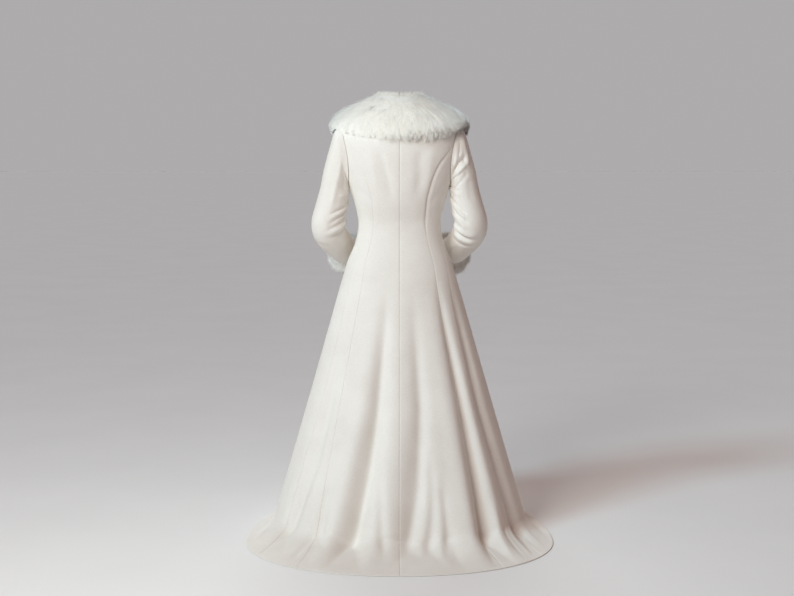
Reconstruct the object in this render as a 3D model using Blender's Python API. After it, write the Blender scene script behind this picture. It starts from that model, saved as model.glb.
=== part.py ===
"""Princess coat for a bride, as worn, in metres at real size.

+Z is up and the front faces -Y, so the wearer's left is +X. The origin is the middle of
the neckline at the height of the nape, where the neck and shoulders carry the coat.
"""
import bmesh
import bpy
import numpy as np

# Cloth and seams
WALL = 0.003            # wool coating with its hem and seam allowances
SEAM_GAP = 0.0003       # between neighbouring panels
EASE = 0.0005           # between a piece and what it lies on
FLOOR_Z = -1.44         # the hem lies on the floor, this far below the nape

# Armhole: an upright oval on the side of the body
ARM_TOP_Z = -0.060
ARM_FOOT_Z = -0.256
ARM_TOP_ANGLE = 90.0
ARM_FOOT_ANGLE = 84.0
ARM_SPREAD = 22.0       # degrees to the back and to the front of its middle line
ARM_SIDES = 16

# Front closing: the right front laps over the left one
LAP = 0.025             # each front passes the centre line by this much
LAP_LIFT = 0.0042       # how far the upper front stands off the lower one's outside
LAP_RISE_Z = (-0.20, -0.26)     # heights between which it rises
LAP_RISE_X = (0.062, 0.032)     # distances from the centre line, likewise
LAPEL_MIX_Z = (-0.22, -0.29)    # where the columns of a lapel change into those of the lap

# Buttons, covered in the coat's own cloth
BUTTON_RADIUS = 0.0125
BUTTON_THICK = 0.0085    # with its short shank
BUTTON_GAP = 0.0008      # under the shank, where the waist curves in
BUTTON_HEIGHTS = (-0.330, -0.400, -0.470, -0.530)

# Where the skirt bends onto the floor, and the outline of the hem on it
BEND_Z = FLOOR_Z + 0.045
HEM_HALF_WIDTH = 0.512
HEM_MIDDLE_Y = 0.300
HEM_BACK_Y = 0.712
HEM_FRONT_Y = -0.355
HEM_SQUARENESS = 2.12    # as in SECTIONS

# Level sections of the coat. Columns: height, half width, y of the back, y of the front,
# y of the widest place, and squareness, the power of the superellipse (2 is an ellipse).
SECTIONS = np.array([
    (0.040, 0.070, 0.057, -0.050, 0.000, 2.0),
    (0.000, 0.072, 0.058, -0.052, 0.000, 2.0),
    (-0.020, 0.112, 0.068, -0.058, 0.000, 2.1),
    (-0.045, 0.172, 0.079, -0.068, 0.000, 2.2),
    (-0.060, 0.202, 0.085, -0.074, 0.000, 2.3),
    (-0.100, 0.202, 0.098, -0.090, 0.000, 2.4),
    (-0.158, 0.196, 0.110, -0.113, 0.000, 2.4),
    (-0.215, 0.187, 0.114, -0.131, 0.000, 2.4),
    (-0.256, 0.178, 0.113, -0.137, 0.000, 2.3),
    (-0.330, 0.156, 0.101, -0.125, 0.000, 2.2),
    (-0.400, 0.143, 0.086, -0.108, 0.000, 2.2),
    (-0.460, 0.153, 0.093, -0.112, 0.000, 2.2),
    (-0.530, 0.181, 0.117, -0.125, 0.004, 2.2),
    (-0.600, 0.202, 0.139, -0.139, 0.010, 2.15),
    (-0.740, 0.244, 0.182, -0.165, 0.020, 2.1),
    (-1.000, 0.321, 0.272, -0.217, 0.045, 2.1),
    (-1.250, 0.394, 0.372, -0.268, 0.070, 2.1),
    (-1.440, 0.449, 0.462, -0.308, 0.090, 2.1),
])

# Seams down the body. Columns: height, degrees round from the centre back.
BACK_PRINCESS = np.array([
    (-0.1205, 67.5), (-0.142, 62.0), (-0.158, 55.0), (-0.189, 44.0), (-0.216, 38.5),
    (-0.248, 35.8), (-0.300, 34.6), (-0.400, 36.8), (-0.490, 38.3), (-0.600, 38.0),
    (-1.440, 38.0),
])
SIDE_SEAM = np.array([
    (-0.256, 84.0), (-0.330, 79.0), (-0.400, 72.0), (-0.530, 62.0), (-0.650, 57.0),
    (-0.800, 55.0), (-1.000, 56.0), (-1.200, 59.0), (-1.440, 62.0),
])
FRONT_PRINCESS = np.array([
    (-0.158, 114.5), (-0.189, 127.0), (-0.216, 135.0), (-0.256, 141.0), (-0.330, 144.0),
    (-0.400, 144.0), (-0.530, 143.0), (-0.740, 144.0), (-1.440, 146.0),
])
# Columns: height, how far the front's edge stops short of the centre line.
FRONT_EDGE = np.array([
    (0.000, 0.066), (-0.020, 0.070), (-0.045, 0.068), (-0.060, 0.065), (-0.100, 0.056),
    (-0.158, 0.041), (-0.215, 0.023), (-0.256, 0.008), (-0.290, -0.010), (-0.330, -LAP),
    (-1.440, -LAP),
])

# Soft folds of the skirt. Columns: height of the top, degrees round from the centre back
# at the top, half way down and at the floor, half width in degrees, depth at the floor
# (negative runs in, positive stands out).
HALF_WAY_Z = -1.00
FOLD_GROWTH = 1.15      # power by which a fold deepens on its way down
FOLD_FADE = 0.7         # power by which it flattens on the floor
FOLDS = np.array([
    (-0.58, 12.0, 16.0, 26.5, 5.6, -0.034),
    (-0.64, -12.5, -7.0, -1.5, 4.4, -0.016),
    (-0.54, -37.5, -34.5, -37.5, 4.8, -0.036),
    (-0.56, -59.0, -56.5, -63.5, 4.6, -0.024),
    (-0.72, 47.0, 47.5, 57.0, 6.0, -0.020),
    (-0.66, -24.0, -20.0, -22.0, 8.0, 0.017),
    (-0.62, -46.5, -45.5, -49.0, 5.0, 0.015),
    (-0.70, 27.0, 30.0, 39.0, 6.5, 0.014),
    (-0.75, 1.0, 5.0, 13.0, 6.0, 0.010),
    (-1.24, 8.5, 8.0, 6.0, 3.0, -0.010),
    (-1.26, -15.0, -15.0, -12.0, 3.4, -0.016),
    (-1.30, -22.0, -22.0, -21.0, 2.6, -0.010),
    (-1.24, 35.0, 35.0, 36.0, 3.6, -0.012),
    (-0.62, 88.0, 90.0, 94.0, 7.5, -0.022),
    (-0.66, -92.0, -93.0, -97.0, 7.5, -0.024),
    (-0.70, 108.0, 110.0, 114.0, 7.0, 0.014),
    (-0.70, -112.0, -112.0, -115.0, 7.0, 0.014),
    (-0.60, 130.0, 131.0, 133.0, 6.0, -0.026),
    (-0.62, -131.0, -133.0, -136.0, 6.0, -0.024),
    (-0.68, 158.0, 157.0, 156.0, 6.0, -0.018),
    (-0.72, -157.0, -156.0, -154.0, 6.0, -0.020),
])

# Sleeve rings down the left arm. Columns: x, y and z of the middle, lean of the outer side
# above level in degrees, half width from the inner to the outer side, half depth.
SLEEVE = np.array([
    (0.1998, 0.000, -0.1735, 75.9, 0.0913, 0.0560),
    (0.2065, 0.000, -0.1965, 67.6, 0.0773, 0.0560),
    (0.2133, 0.001, -0.2250, 53.7, 0.0620, 0.0560),
    (0.2190, 0.002, -0.2515, 36.2, 0.0533, 0.0555),
    (0.2235, 0.003, -0.2785, 22.0, 0.0500, 0.0550),
    (0.2300, 0.006, -0.3150, 14.0, 0.0510, 0.0545),
    (0.2390, 0.010, -0.3520, 8.0, 0.0530, 0.0545),
    (0.2465, 0.013, -0.3820, 0.0, 0.0550, 0.0550),
    (0.2485, 0.010, -0.4020, -6.0, 0.0550, 0.0560),
    (0.2475, 0.000, -0.4190, -12.0, 0.0545, 0.0565),
    (0.2430, -0.017, -0.4340, -18.0, 0.0535, 0.0560),
    (0.2360, -0.038, -0.4480, -23.0, 0.0525, 0.0550),
    (0.2270, -0.062, -0.4620, -27.0, 0.0515, 0.0535),
    (0.2120, -0.094, -0.4810, -29.0, 0.0500, 0.0515),
    (0.1940, -0.130, -0.5010, -29.0, 0.0485, 0.0495),
    (0.1760, -0.166, -0.5190, -29.0, 0.0465, 0.0475),
    (0.1600, -0.200, -0.5350, -29.0, 0.0455, 0.0460),
])
UNDER_SLEEVE_SIDES = (9, 15)    # ring corners where the two seams of the sleeve run

# Fur cuff. Columns: ring of the sleeve (counted in SLEEVE rows), pile standing off it.
CUFF = np.array([
    (14.0, 0.006), (14.2, 0.019), (14.6, 0.029), (15.2, 0.032), (15.8, 0.030),
    (16.2, 0.020), (16.4, 0.006),
])

# The form under the fur collar, clear of the shoulders and of the sleeve heads.
# Columns as in SECTIONS.
YOKE = np.array([
    (0.050, 0.070, 0.057, -0.052, 0.000, 2.0),
    (0.000, 0.0735, 0.0595, -0.0535, 0.000, 2.0),
    (-0.020, 0.1150, 0.0700, -0.0610, 0.000, 2.1),
    (-0.045, 0.1770, 0.0820, -0.0720, 0.000, 2.2),
    (-0.060, 0.2080, 0.0880, -0.0780, 0.000, 2.3),
    (-0.085, 0.2300, 0.0970, -0.0890, 0.000, 2.3),
    (-0.110, 0.2400, 0.1040, -0.0990, 0.000, 2.3),
    (-0.158, 0.2440, 0.1140, -0.1180, 0.000, 2.3),
    (-0.215, 0.2250, 0.1190, -0.1370, 0.000, 2.3),
    (-0.256, 0.1950, 0.1190, -0.1440, 0.000, 2.3),
    (-0.330, 0.1700, 0.1070, -0.1340, 0.000, 2.2),
    (-0.400, 0.1550, 0.0930, -0.1180, 0.000, 2.2),
])
# Stations of the collar from the centre back round to its front end. Columns: degrees and
# height of the edge at the neck, degrees and height of the outer edge, plumpness, and how
# far the fur at the neck rises instead of standing straight off the form.
COLLAR = np.array([
    (0.0, 0.042, 0.0, -0.118, 0.044, 1.20),
    (24.0, 0.043, 19.0, -0.112, 0.045, 1.20),
    (50.0, 0.043, 41.0, -0.098, 0.047, 1.35),
    (72.0, 0.042, 63.0, -0.084, 0.046, 1.60),
    (90.0, 0.037, 84.0, -0.080, 0.042, 1.70),
    (105.0, 0.026, 103.0, -0.092, 0.041, 1.50),
    (119.0, 0.009, 120.0, -0.119, 0.041, 1.00),
    (140.5, -0.014, 134.0, -0.152, 0.041, 0.55),
    (157.0, -0.040, 144.0, -0.184, 0.039, 0.30),
    (165.5, -0.068, 151.0, -0.212, 0.036, 0.15),
    (170.5, -0.120, 159.0, -0.246, 0.033, 0.05),
    (174.5, -0.190, 167.0, -0.285, 0.027, 0.00),
    (178.3, -0.262, 174.0, -0.320, 0.016, 0.00),
])
COLLAR_STEPS = 2        # sections between two stations
COLLAR_ACROSS = 11      # points from the neck to the outer edge
NECK_ROLL = (-0.03, -0.015, 0.0, 0.015, 0.03)   # heights averaged where the fur rolls over
NECK_ROLL_REACH = (0.75, 0.35)  # shares of the way out between which the roll comes in
RISE_FADE = 1.5                 # power by which the rise fades on the way out
EDGE_PLUMP = 0.16               # plumpness left at the very edges
EDGE_ROUNDING = 3.2             # power of the rounding over both edges

# Rows of corners down a panel
SHOULDER_ROWS = (0.0, -0.015, -0.032, -0.047)
BODICE_ROWS = (-0.290, -0.330, -0.365, -0.400, -0.435, -0.470, -0.530, -0.590, -0.660)
SKIRT_ROWS = (-0.750, -0.850, -0.950, -1.050, -1.150, -1.240, -1.320, BEND_Z)
SWEEP_ROWS = (0.20, 0.40, 0.60, 0.80, 1.00)
BACK_COLUMNS = 12
SIDE_BACK_COLUMNS = 8
SIDE_FRONT_COLUMNS = 11
FRONT_COLUMNS = 5

IVORY_WOOL = (0.86, 0.83, 0.78)
WHITE_FUR = (0.93, 0.92, 0.90)


def follow(table, at):
    """The other columns of a table at the given values of its first column, smoothly."""
    knots = -table[:, 0] if table[0, 0] > table[-1, 0] else table[:, 0]
    place = -np.asarray(at, float) if table[0, 0] > table[-1, 0] else np.asarray(at, float)
    values = table[:, 1:]
    place = np.clip(place, knots[0], knots[-1])
    step = np.diff(knots)
    slope = np.diff(values, axis=0) / step[:, None]
    share = (step[:-1] / (step[:-1] + step[1:]))[:, None]
    lean = np.vstack([slope[:1], slope[:-1] * (1 - share) + slope[1:] * share, slope[-1:]])
    lean[1:-1][slope[:-1] * slope[1:] <= 0] = 0
    i = np.clip(np.searchsorted(knots, place, side="right") - 1, 0, len(step) - 1)
    t = ((place - knots[i]) / step[i])[..., None]
    width = step[i][..., None]
    return ((2 * t**3 - 3 * t**2 + 1) * values[i] + (t**3 - 2 * t**2 + t) * width * lean[i]
            + (3 * t**2 - 2 * t**3) * values[i + 1] + (t**3 - t**2) * width * lean[i + 1])


def ease_in(value, start, end):
    """0 before start and 1 past end, smooth between; start may be above end."""
    t = np.clip((value - start) / (end - start), 0, 1)
    return t * t * (3 - 2 * t)


def ring(table, angle, z):
    """Points of the level section at height z, at angles in degrees from the centre back."""
    angle, z = np.broadcast_arrays(np.asarray(angle, float), np.asarray(z, float))
    return oval(angle, z, *np.moveaxis(follow(table, z), -1, 0))


def oval(angle, z, half, back, front, middle, power):
    """Points of a level superellipse whose depths to the back and to the front differ."""
    across, along = np.sin(np.radians(angle)), np.cos(np.radians(angle))
    x = half * np.sign(across) * np.abs(across) ** (2 / power)
    depth = np.where(along > 0, back - middle, middle - front)
    y = middle + depth * np.sign(along) * np.abs(along) ** (2 / power)
    return np.stack([x, y, z], -1)


def hem(angle):
    """Points of the hem's outline on the floor."""
    level = np.full_like(angle, FLOOR_Z + WALL)
    return oval(angle, level, HEM_HALF_WIDTH, HEM_BACK_Y, HEM_FRONT_Y, HEM_MIDDLE_Y,
                HEM_SQUARENESS)


def plain_form(angle, drop):
    """The coat without folds. drop is the depth below the nape down to the bend, and past
    it counts on by 1 to the hem: a curve from the bend over the foot of the skirt."""
    angle, drop = np.broadcast_arrays(np.asarray(angle, float), np.asarray(drop, float))
    hanging = ring(SECTIONS, angle, np.maximum(-drop, BEND_Z))
    q = np.clip(drop + BEND_Z, 0, 1.01)[..., None]
    foot = ring(SECTIONS, angle, np.full_like(drop, FLOOR_Z))
    foot[..., 2] += WALL
    return (1 - q) ** 2 * hanging + 2 * q * (1 - q) * foot + q**2 * hem(angle)


def outward(surface, angle, drop):
    """Unit normals of a surface of angle and drop."""
    turn, fall = 0.1, 0.0004
    along = surface(angle + turn, drop) - surface(angle - turn, drop)
    down = surface(angle, drop + fall) - surface(angle, drop - fall)
    normal = np.cross(along, down)
    return normal / np.linalg.norm(normal, axis=-1, keepdims=True)


def fold_depth(angle, drop):
    """How far the folds move the cloth out (or in) at an angle and drop."""
    z = np.maximum(-drop, FLOOR_Z)
    spent = np.clip(drop + BEND_Z, 0, 1)
    total = np.zeros(np.broadcast(angle, drop).shape)
    for top, first, second, third, half, depth in FOLDS:
        knots = (-top, -HALF_WAY_Z, -FLOOR_Z) if top > HALF_WAY_Z else (-top, -FLOOR_Z)
        places = (first, second, third) if top > HALF_WAY_Z else (first, third)
        centre = np.interp(-z, knots, places)
        grown = np.clip((top - z) / (top - FLOOR_Z), 0, 1) ** FOLD_GROWTH
        total += depth * grown * np.exp(-(((angle - centre) / half) ** 2))
    return total * (1 - spent) ** FOLD_FADE


def folded_form(angle, drop):
    """The coat's outside with its folds, never sinking into the floor."""
    angle, drop = np.broadcast_arrays(np.asarray(angle, float), np.asarray(drop, float))
    points = plain_form(angle, drop)
    points = points + fold_depth(angle, drop)[..., None] * outward(plain_form, angle, drop)
    points[..., 2] = np.maximum(points[..., 2], FLOOR_Z + WALL)
    return points


def angle_at(x, z):
    """Degrees from the centre back of the front's point at this distance from the centre
    line, which is negative past it."""
    half, _, _, _, power = np.moveaxis(follow(SECTIONS, z), -1, 0)
    turn = np.degrees(np.arcsin(np.clip(np.abs(x) / half, 0, 1) ** (power / 2)))
    return 180 - np.sign(x) * turn


def armhole(corner):
    """Angle and height of the armhole's edge: corner 0 is its back, a quarter turn on is
    its top, and half a turn on its front."""
    turn = 2 * np.pi * np.asarray(corner, float) / ARM_SIDES
    middle_z, half_z = (ARM_TOP_Z + ARM_FOOT_Z) / 2, (ARM_TOP_Z - ARM_FOOT_Z) / 2
    z = middle_z + half_z * np.sin(turn)
    middle = ARM_FOOT_ANGLE + (ARM_TOP_ANGLE - ARM_FOOT_ANGLE) * (z - ARM_FOOT_Z) / (2 * half_z)
    return middle - ARM_SPREAD * np.cos(turn), z


QUARTER = ARM_SIDES // 4
ARMHOLE_ROWS = armhole(np.arange(QUARTER, -QUARTER - 1, -1))[1]
ROWS = np.concatenate([
    -np.array(SHOULDER_ROWS), -ARMHOLE_ROWS, -np.array(BODICE_ROWS), -np.array(SKIRT_ROWS),
    -BEND_Z + np.array(SWEEP_ROWS),
])
TOP_OF_ARM = len(SHOULDER_ROWS)
FOOT_OF_ARM = TOP_OF_ARM + 2 * QUARTER
BACK_TIP = TOP_OF_ARM + QUARTER - 1     # row where the back princess seam leaves the armhole
FRONT_TIP = TOP_OF_ARM + QUARTER        # the same for the front one


def side_edge(towards_front):
    """Angles, row by row, of the panels' edge on the shoulder and down the armhole."""
    corners = np.arange(QUARTER, -QUARTER - 1, -1)
    if towards_front:
        corners = 2 * QUARTER - corners
    edge = np.full(len(ROWS), ARM_TOP_ANGLE)
    edge[TOP_OF_ARM:FOOT_OF_ARM + 1] = armhole(corners)[0]
    return edge


def seam(table):
    return follow(table, np.maximum(-ROWS, FLOOR_Z))[..., 0]


def panel_columns(left, right, count):
    """Angles of a panel's corners: rows by count + 1 columns between its two edges, drawn
    in by half a seam gap at each."""
    share = np.linspace(0, 1, count + 1)
    angles = left[:, None] * (1 - share) + right[:, None] * share
    reach = np.linalg.norm(plain_form(angles + 0.5, ROWS[:, None])
                           - plain_form(angles - 0.5, ROWS[:, None]), axis=-1)
    inset = SEAM_GAP / 2 / reach
    angles[:, 0] += inset[:, 0]
    angles[:, -1] -= inset[:, -1]
    return angles


def front_columns():
    """As panel_columns, with the last three columns spaced for the lap below the lapels."""
    z = np.maximum(-ROWS, FLOOR_Z)
    edge_x = follow(FRONT_EDGE, z)[..., 0]
    inner = np.where(np.arange(len(ROWS)) < FRONT_TIP, side_edge(True), seam(FRONT_PRINCESS))
    outer = angle_at(edge_x, z)
    even = panel_columns(inner, outer, FRONT_COLUMNS + 2)
    lapped = even.copy()
    lapped[:, -2] = angle_at(edge_x + LAP, z)
    lapped[:, -3] = angle_at(edge_x + 2 * LAP, z)
    share = np.linspace(0, 1, FRONT_COLUMNS + 1)
    lapped[:, :FRONT_COLUMNS + 1] = even[:, :1] * (1 - share) + lapped[:, -3:-2] * share
    mix = ease_in(z, *LAPEL_MIX_Z)[:, None]
    return even * (1 - mix) + lapped * mix


def lap_lift(angle, drop):
    """How far the upper front is raised where it lies on the lower one."""
    x = plain_form(angle, drop)[..., 0]
    near = ease_in(x, *LAP_RISE_X)
    return LAP_LIFT * near * ease_in(-drop, *LAP_RISE_Z)


def close_solid(name, outer, inner, colour, roughness, round_closed=False):
    """An object of one closed body between two grids of points of the same size."""
    rows, columns = outer.shape[:2]
    count = rows * columns
    number = np.arange(count).reshape(rows, columns)
    faces = []

    def strip(a, b, c, d):
        for quad in zip(a.ravel(), b.ravel(), c.ravel(), d.ravel()):
            faces.append((quad[0], quad[1], quad[2]))
            faces.append((quad[0], quad[2], quad[3]))

    if round_closed:
        number = np.hstack([number, number[:, :1]])
    a, b, c, d = number[:-1, :-1], number[:-1, 1:], number[1:, 1:], number[1:, :-1]
    strip(a, b, c, d)
    strip(d + count, c + count, b + count, a + count)
    top, end = number[0], number[-1]
    strip(top[1:], top[:-1], top[:-1] + count, top[1:] + count)
    strip(end[:-1], end[1:], end[1:] + count, end[:-1] + count)
    if not round_closed:
        # both long edges are split corner to corner the same way, so neighbours match
        low, high = number[:, 0], number[:, -1]
        strip(low[:-1], low[1:], low[1:] + count, low[:-1] + count)
        strip(high[:-1], high[:-1] + count, high[1:] + count, high[1:])
    points = np.concatenate([outer.reshape(-1, 3), inner.reshape(-1, 3)])
    return add_object(name, points, faces, colour, roughness)


def add_object(name, points, faces, colour, roughness):
    mesh = bpy.data.meshes.new(name)
    mesh.from_pydata(points.tolist(), [], [tuple(int(i) for i in face) for face in faces])
    shape = bmesh.new()
    shape.from_mesh(mesh)
    bmesh.ops.recalc_face_normals(shape, faces=shape.faces)
    shape.to_mesh(mesh)
    shape.free()
    mesh.shade_smooth()
    mesh.set_sharp_from_angle(angle=np.radians(50))
    mesh.materials.append(finish(name, colour, roughness))
    made = bpy.data.objects.new(name, mesh)
    bpy.context.scene.collection.objects.link(made)
    return made


def finish(name, colour, roughness):
    material = bpy.data.materials.new(name)
    material.use_nodes = True
    shader = material.node_tree.nodes["Principled BSDF"]
    shader.inputs["Base Color"].default_value = (*colour, 1.0)
    shader.inputs["Roughness"].default_value = roughness
    shader.inputs["Metallic"].default_value = 0.0
    return material


def make_panel(name, angles, first_row, side, lapped=False):
    """One cut piece of the body, from its first row down to the hem."""
    angle = side * angles[first_row:]
    drop = np.broadcast_to(ROWS[first_row:, None], angle.shape)

    def surface(turn, fall):
        points = folded_form(turn, fall)
        if lapped:
            lift = lap_lift(side * turn, fall)[..., None]
            points = points + lift * outward(plain_form, turn, fall)
        return points

    outer = surface(angle, drop)
    inner = outer - WALL * outward(surface, angle, drop)
    close_solid(name, outer, inner, IVORY_WOOL, 0.85)


def make_body():
    back_edge, front_edge = side_edge(False), side_edge(True)
    row = np.arange(len(ROWS))
    back_princess = np.where(row < BACK_TIP, back_edge, seam(BACK_PRINCESS))
    side = np.where(row <= FOOT_OF_ARM, back_edge, seam(SIDE_SEAM))
    side_again = np.where(row <= FOOT_OF_ARM, front_edge, seam(SIDE_SEAM))
    back = panel_columns(np.zeros(len(ROWS)), back_princess, BACK_COLUMNS)
    side_back = panel_columns(back_princess, side, SIDE_BACK_COLUMNS)
    side_front = panel_columns(side_again, seam(FRONT_PRINCESS), SIDE_FRONT_COLUMNS)
    front = front_columns()
    for label, sign in (("left", 1), ("right", -1)):
        make_panel(f"back_{label}", back, 0, sign)
        make_panel(f"side_back_{label}", side_back, BACK_TIP, sign)
        make_panel(f"side_front_{label}", side_front, FRONT_TIP, sign)
        make_panel(f"front_{label}", front, 0, sign, lapped=label == "right")


def sleeve_ring(row, corner, grow=0.0):
    """Points round the left sleeve at a row of SLEEVE, counted from 0, which need not be
    whole. Corner 0 is the back, and a quarter turn on is the outer side."""
    row, corner = np.broadcast_arrays(np.asarray(row, float), np.asarray(corner, float))
    table = np.column_stack([np.arange(len(SLEEVE)), SLEEVE])
    near = np.minimum(row, len(SLEEVE) - 1.25)
    here, before, after = (follow(table, at) for at in (row, near - 0.25, near + 0.25))
    beyond = np.maximum(row - (len(SLEEVE) - 1), 0)[..., None]
    here[..., :3] = here[..., :3] + beyond * (SLEEVE[-1, :3] - SLEEVE[-2, :3])
    lean = np.radians(here[..., 3])
    across = np.stack([np.cos(lean), np.zeros_like(lean), np.sin(lean)], -1)
    run = after[..., :3] - before[..., :3]
    run = run - (run * across).sum(-1, keepdims=True) * across
    run = run / np.linalg.norm(run, axis=-1, keepdims=True)
    back = np.cross(across, run)
    turn = 2 * np.pi * corner / ARM_SIDES
    return (here[..., :3] + across * ((here[..., 4] + grow) * np.sin(turn))[..., None]
            + back * ((here[..., 5] + grow) * np.cos(turn))[..., None])


def sleeve_grid(corners):
    """The sleeve's outside: its first ring lies along the armhole."""
    angle, z = armhole(corners)
    first = plain_form(angle, -z)
    first[..., 0] += EASE
    rings = sleeve_ring(np.arange(len(SLEEVE))[:, None], corners[None, :])
    return np.concatenate([first[None], rings])


def grid_normals(grid):
    """Unit normals of a grid of points, rows by columns."""
    down, along = np.gradient(grid, axis=0), np.gradient(grid, axis=1)
    normal = np.cross(along, down)
    return normal / np.linalg.norm(normal, axis=-1, keepdims=True)


def mirror(points, side):
    return points * np.array([side, 1, 1])


def make_sleeves():
    low, high = UNDER_SLEEVE_SIDES
    pieces = {"sleeve_under": np.arange(low, high + 1.0),
              "sleeve_upper": np.arange(high, low + ARM_SIDES + 1.0)}
    inset = SEAM_GAP / 2 / (2 * np.pi * SLEEVE[-1, 5] / ARM_SIDES)
    for label, side in (("left", 1), ("right", -1)):
        for piece, corners in pieces.items():
            around = np.concatenate([[corners[0] - 1], corners, [corners[-1] + 1]])
            away = grid_normals(sleeve_grid(around))[:, 1:-1]
            corners = corners.copy()
            corners[0] += inset
            corners[-1] -= inset
            outer = sleeve_grid(corners)
            close_solid(f"{piece}_{label}", mirror(outer, side),
                        mirror(outer - WALL * away, side), IVORY_WOOL, 0.85)


def make_cuffs():
    corners = np.arange(ARM_SIDES, dtype=float)
    row = CUFF[:, 0][:, None]
    inner = sleeve_ring(row, corners[None, :], EASE + SEAM_GAP)
    pile = CUFF[:, 1][:, None]
    outer = sleeve_ring(row, corners[None, :], EASE + pile)
    for label, side in (("left", 1), ("right", -1)):
        close_solid(f"cuff_{label}", mirror(outer, side), mirror(inner, side),
                    WHITE_FUR, 0.9, round_closed=True)


def make_collar():
    """The collar between the form under it and the outside of its fur, end to end."""
    half = np.column_stack([np.arange(len(COLLAR)), COLLAR])
    along = np.linspace(0, len(COLLAR) - 1, (len(COLLAR) - 1) * COLLAR_STEPS + 1)
    left = follow(half, along)
    right = left[:0:-1] * np.array([-1, 1, -1, 1, 1, 1])
    stations = np.vstack([right, left])
    # points lie closer together at both edges, where the fur rounds over
    t = 0.5 - 0.5 * np.cos(np.pi * np.linspace(0, 1, COLLAR_ACROSS))[None, :]
    angle = stations[:, :1] * (1 - t) + stations[:, 2:3] * t
    z = stations[:, 1:2] * (1 - t) + stations[:, 3:4] * t

    def form(turn, fall):
        return ring(YOKE, turn, -fall)

    def rolled(turn, fall):
        return sum(form(turn, fall + step) for step in NECK_ROLL) / len(NECK_ROLL)

    under = form(angle, -z)
    roll = ease_in(t, *NECK_ROLL_REACH)[..., None]
    away = outward(rolled, angle, -z) * roll + outward(form, angle, -z) * (1 - roll)
    away[..., 2] += stations[:, 5:6] * (1 - t) ** RISE_FADE
    away = away / np.linalg.norm(away, axis=-1, keepdims=True)
    rounded = (1 - np.abs(2 * t - 1) ** EDGE_ROUNDING) ** 0.5
    plump = stations[:, 4:5] * (EDGE_PLUMP + (1 - EDGE_PLUMP) * rounded)
    top = under + (rolled(angle, -z) - under) * roll + plump[..., None] * away
    close_solid("fur_collar", top, under, WHITE_FUR, 0.9)


def make_buttons():
    """Low domes on the centre line of the upper front, each facing straight out of it."""
    profile = np.array([
        (0.22, 0.0), (0.22, 0.20), (0.90, 0.22), (1.0, 0.42), (0.93, 0.72), (0.66, 0.93),
        (0.30, 1.0),
    ])
    turn = np.linspace(0, 2 * np.pi, 16, endpoint=False)
    for number, z in enumerate(BUTTON_HEIGHTS, start=1):
        at, drop = np.array([-180.0]), np.array([-z])
        seat = folded_form(at, drop) + LAP_LIFT * outward(plain_form, at, drop)
        out = outward(folded_form, at, drop)[0]
        side = np.array([1.0, 0.0, 0.0])
        side = side - (side @ out) * out
        side = side / np.linalg.norm(side)
        up = np.cross(out, side)
        start = seat[0] + BUTTON_GAP * out
        radius, height = profile[:, :1] * BUTTON_RADIUS, profile[:, 1:] * BUTTON_THICK
        rim = np.cos(turn)[None, :, None] * side + np.sin(turn)[None, :, None] * up
        rings = start + radius[..., None] * rim + height[..., None] * out
        poles = np.array([start, start + BUTTON_THICK * out])
        make_turned(f"button_{number}", rings, poles)


def make_turned(name, rings, poles):
    """A closed round body from its rings and its two end points."""
    count, sides = rings.shape[:2]
    number = np.arange(count * sides).reshape(count, sides)
    after = np.roll(number, -1, axis=1)
    faces = []
    for low, high in zip(range(count - 1), range(1, count)):
        for a, b, c, d in zip(number[low], after[low], after[high], number[high]):
            faces += [(a, b, c), (a, c, d)]
    first, last = count * sides, count * sides + 1
    faces += [(first, b, a) for a, b in zip(number[0], after[0])]
    faces += [(last, a, b) for a, b in zip(number[-1], after[-1])]
    points = np.concatenate([rings.reshape(-1, 3), poles])
    add_object(name, points, faces, IVORY_WOOL, 0.8)


def main():
    for item in list(bpy.data.objects):
        bpy.data.objects.remove(item, do_unlink=True)
    make_body()
    make_sleeves()
    make_cuffs()
    make_collar()
    make_buttons()


main()
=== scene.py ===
import math

import bpy
import numpy as np
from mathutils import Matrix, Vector


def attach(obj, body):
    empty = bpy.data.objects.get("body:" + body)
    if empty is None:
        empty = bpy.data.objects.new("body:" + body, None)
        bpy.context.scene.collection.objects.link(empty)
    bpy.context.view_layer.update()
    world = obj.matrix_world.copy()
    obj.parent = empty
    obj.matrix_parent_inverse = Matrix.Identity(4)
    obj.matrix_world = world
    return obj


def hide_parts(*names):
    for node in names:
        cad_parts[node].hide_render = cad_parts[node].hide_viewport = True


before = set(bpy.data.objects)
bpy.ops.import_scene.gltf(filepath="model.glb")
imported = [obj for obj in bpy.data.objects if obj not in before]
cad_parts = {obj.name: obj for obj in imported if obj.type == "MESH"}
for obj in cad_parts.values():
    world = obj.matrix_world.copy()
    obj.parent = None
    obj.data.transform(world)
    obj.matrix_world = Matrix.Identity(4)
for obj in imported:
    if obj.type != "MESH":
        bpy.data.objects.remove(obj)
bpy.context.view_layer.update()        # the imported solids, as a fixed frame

print("princess coat: solids loaded,", len(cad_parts), "nodes")
sides = (("Left", 1), ("Right", -1))

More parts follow.
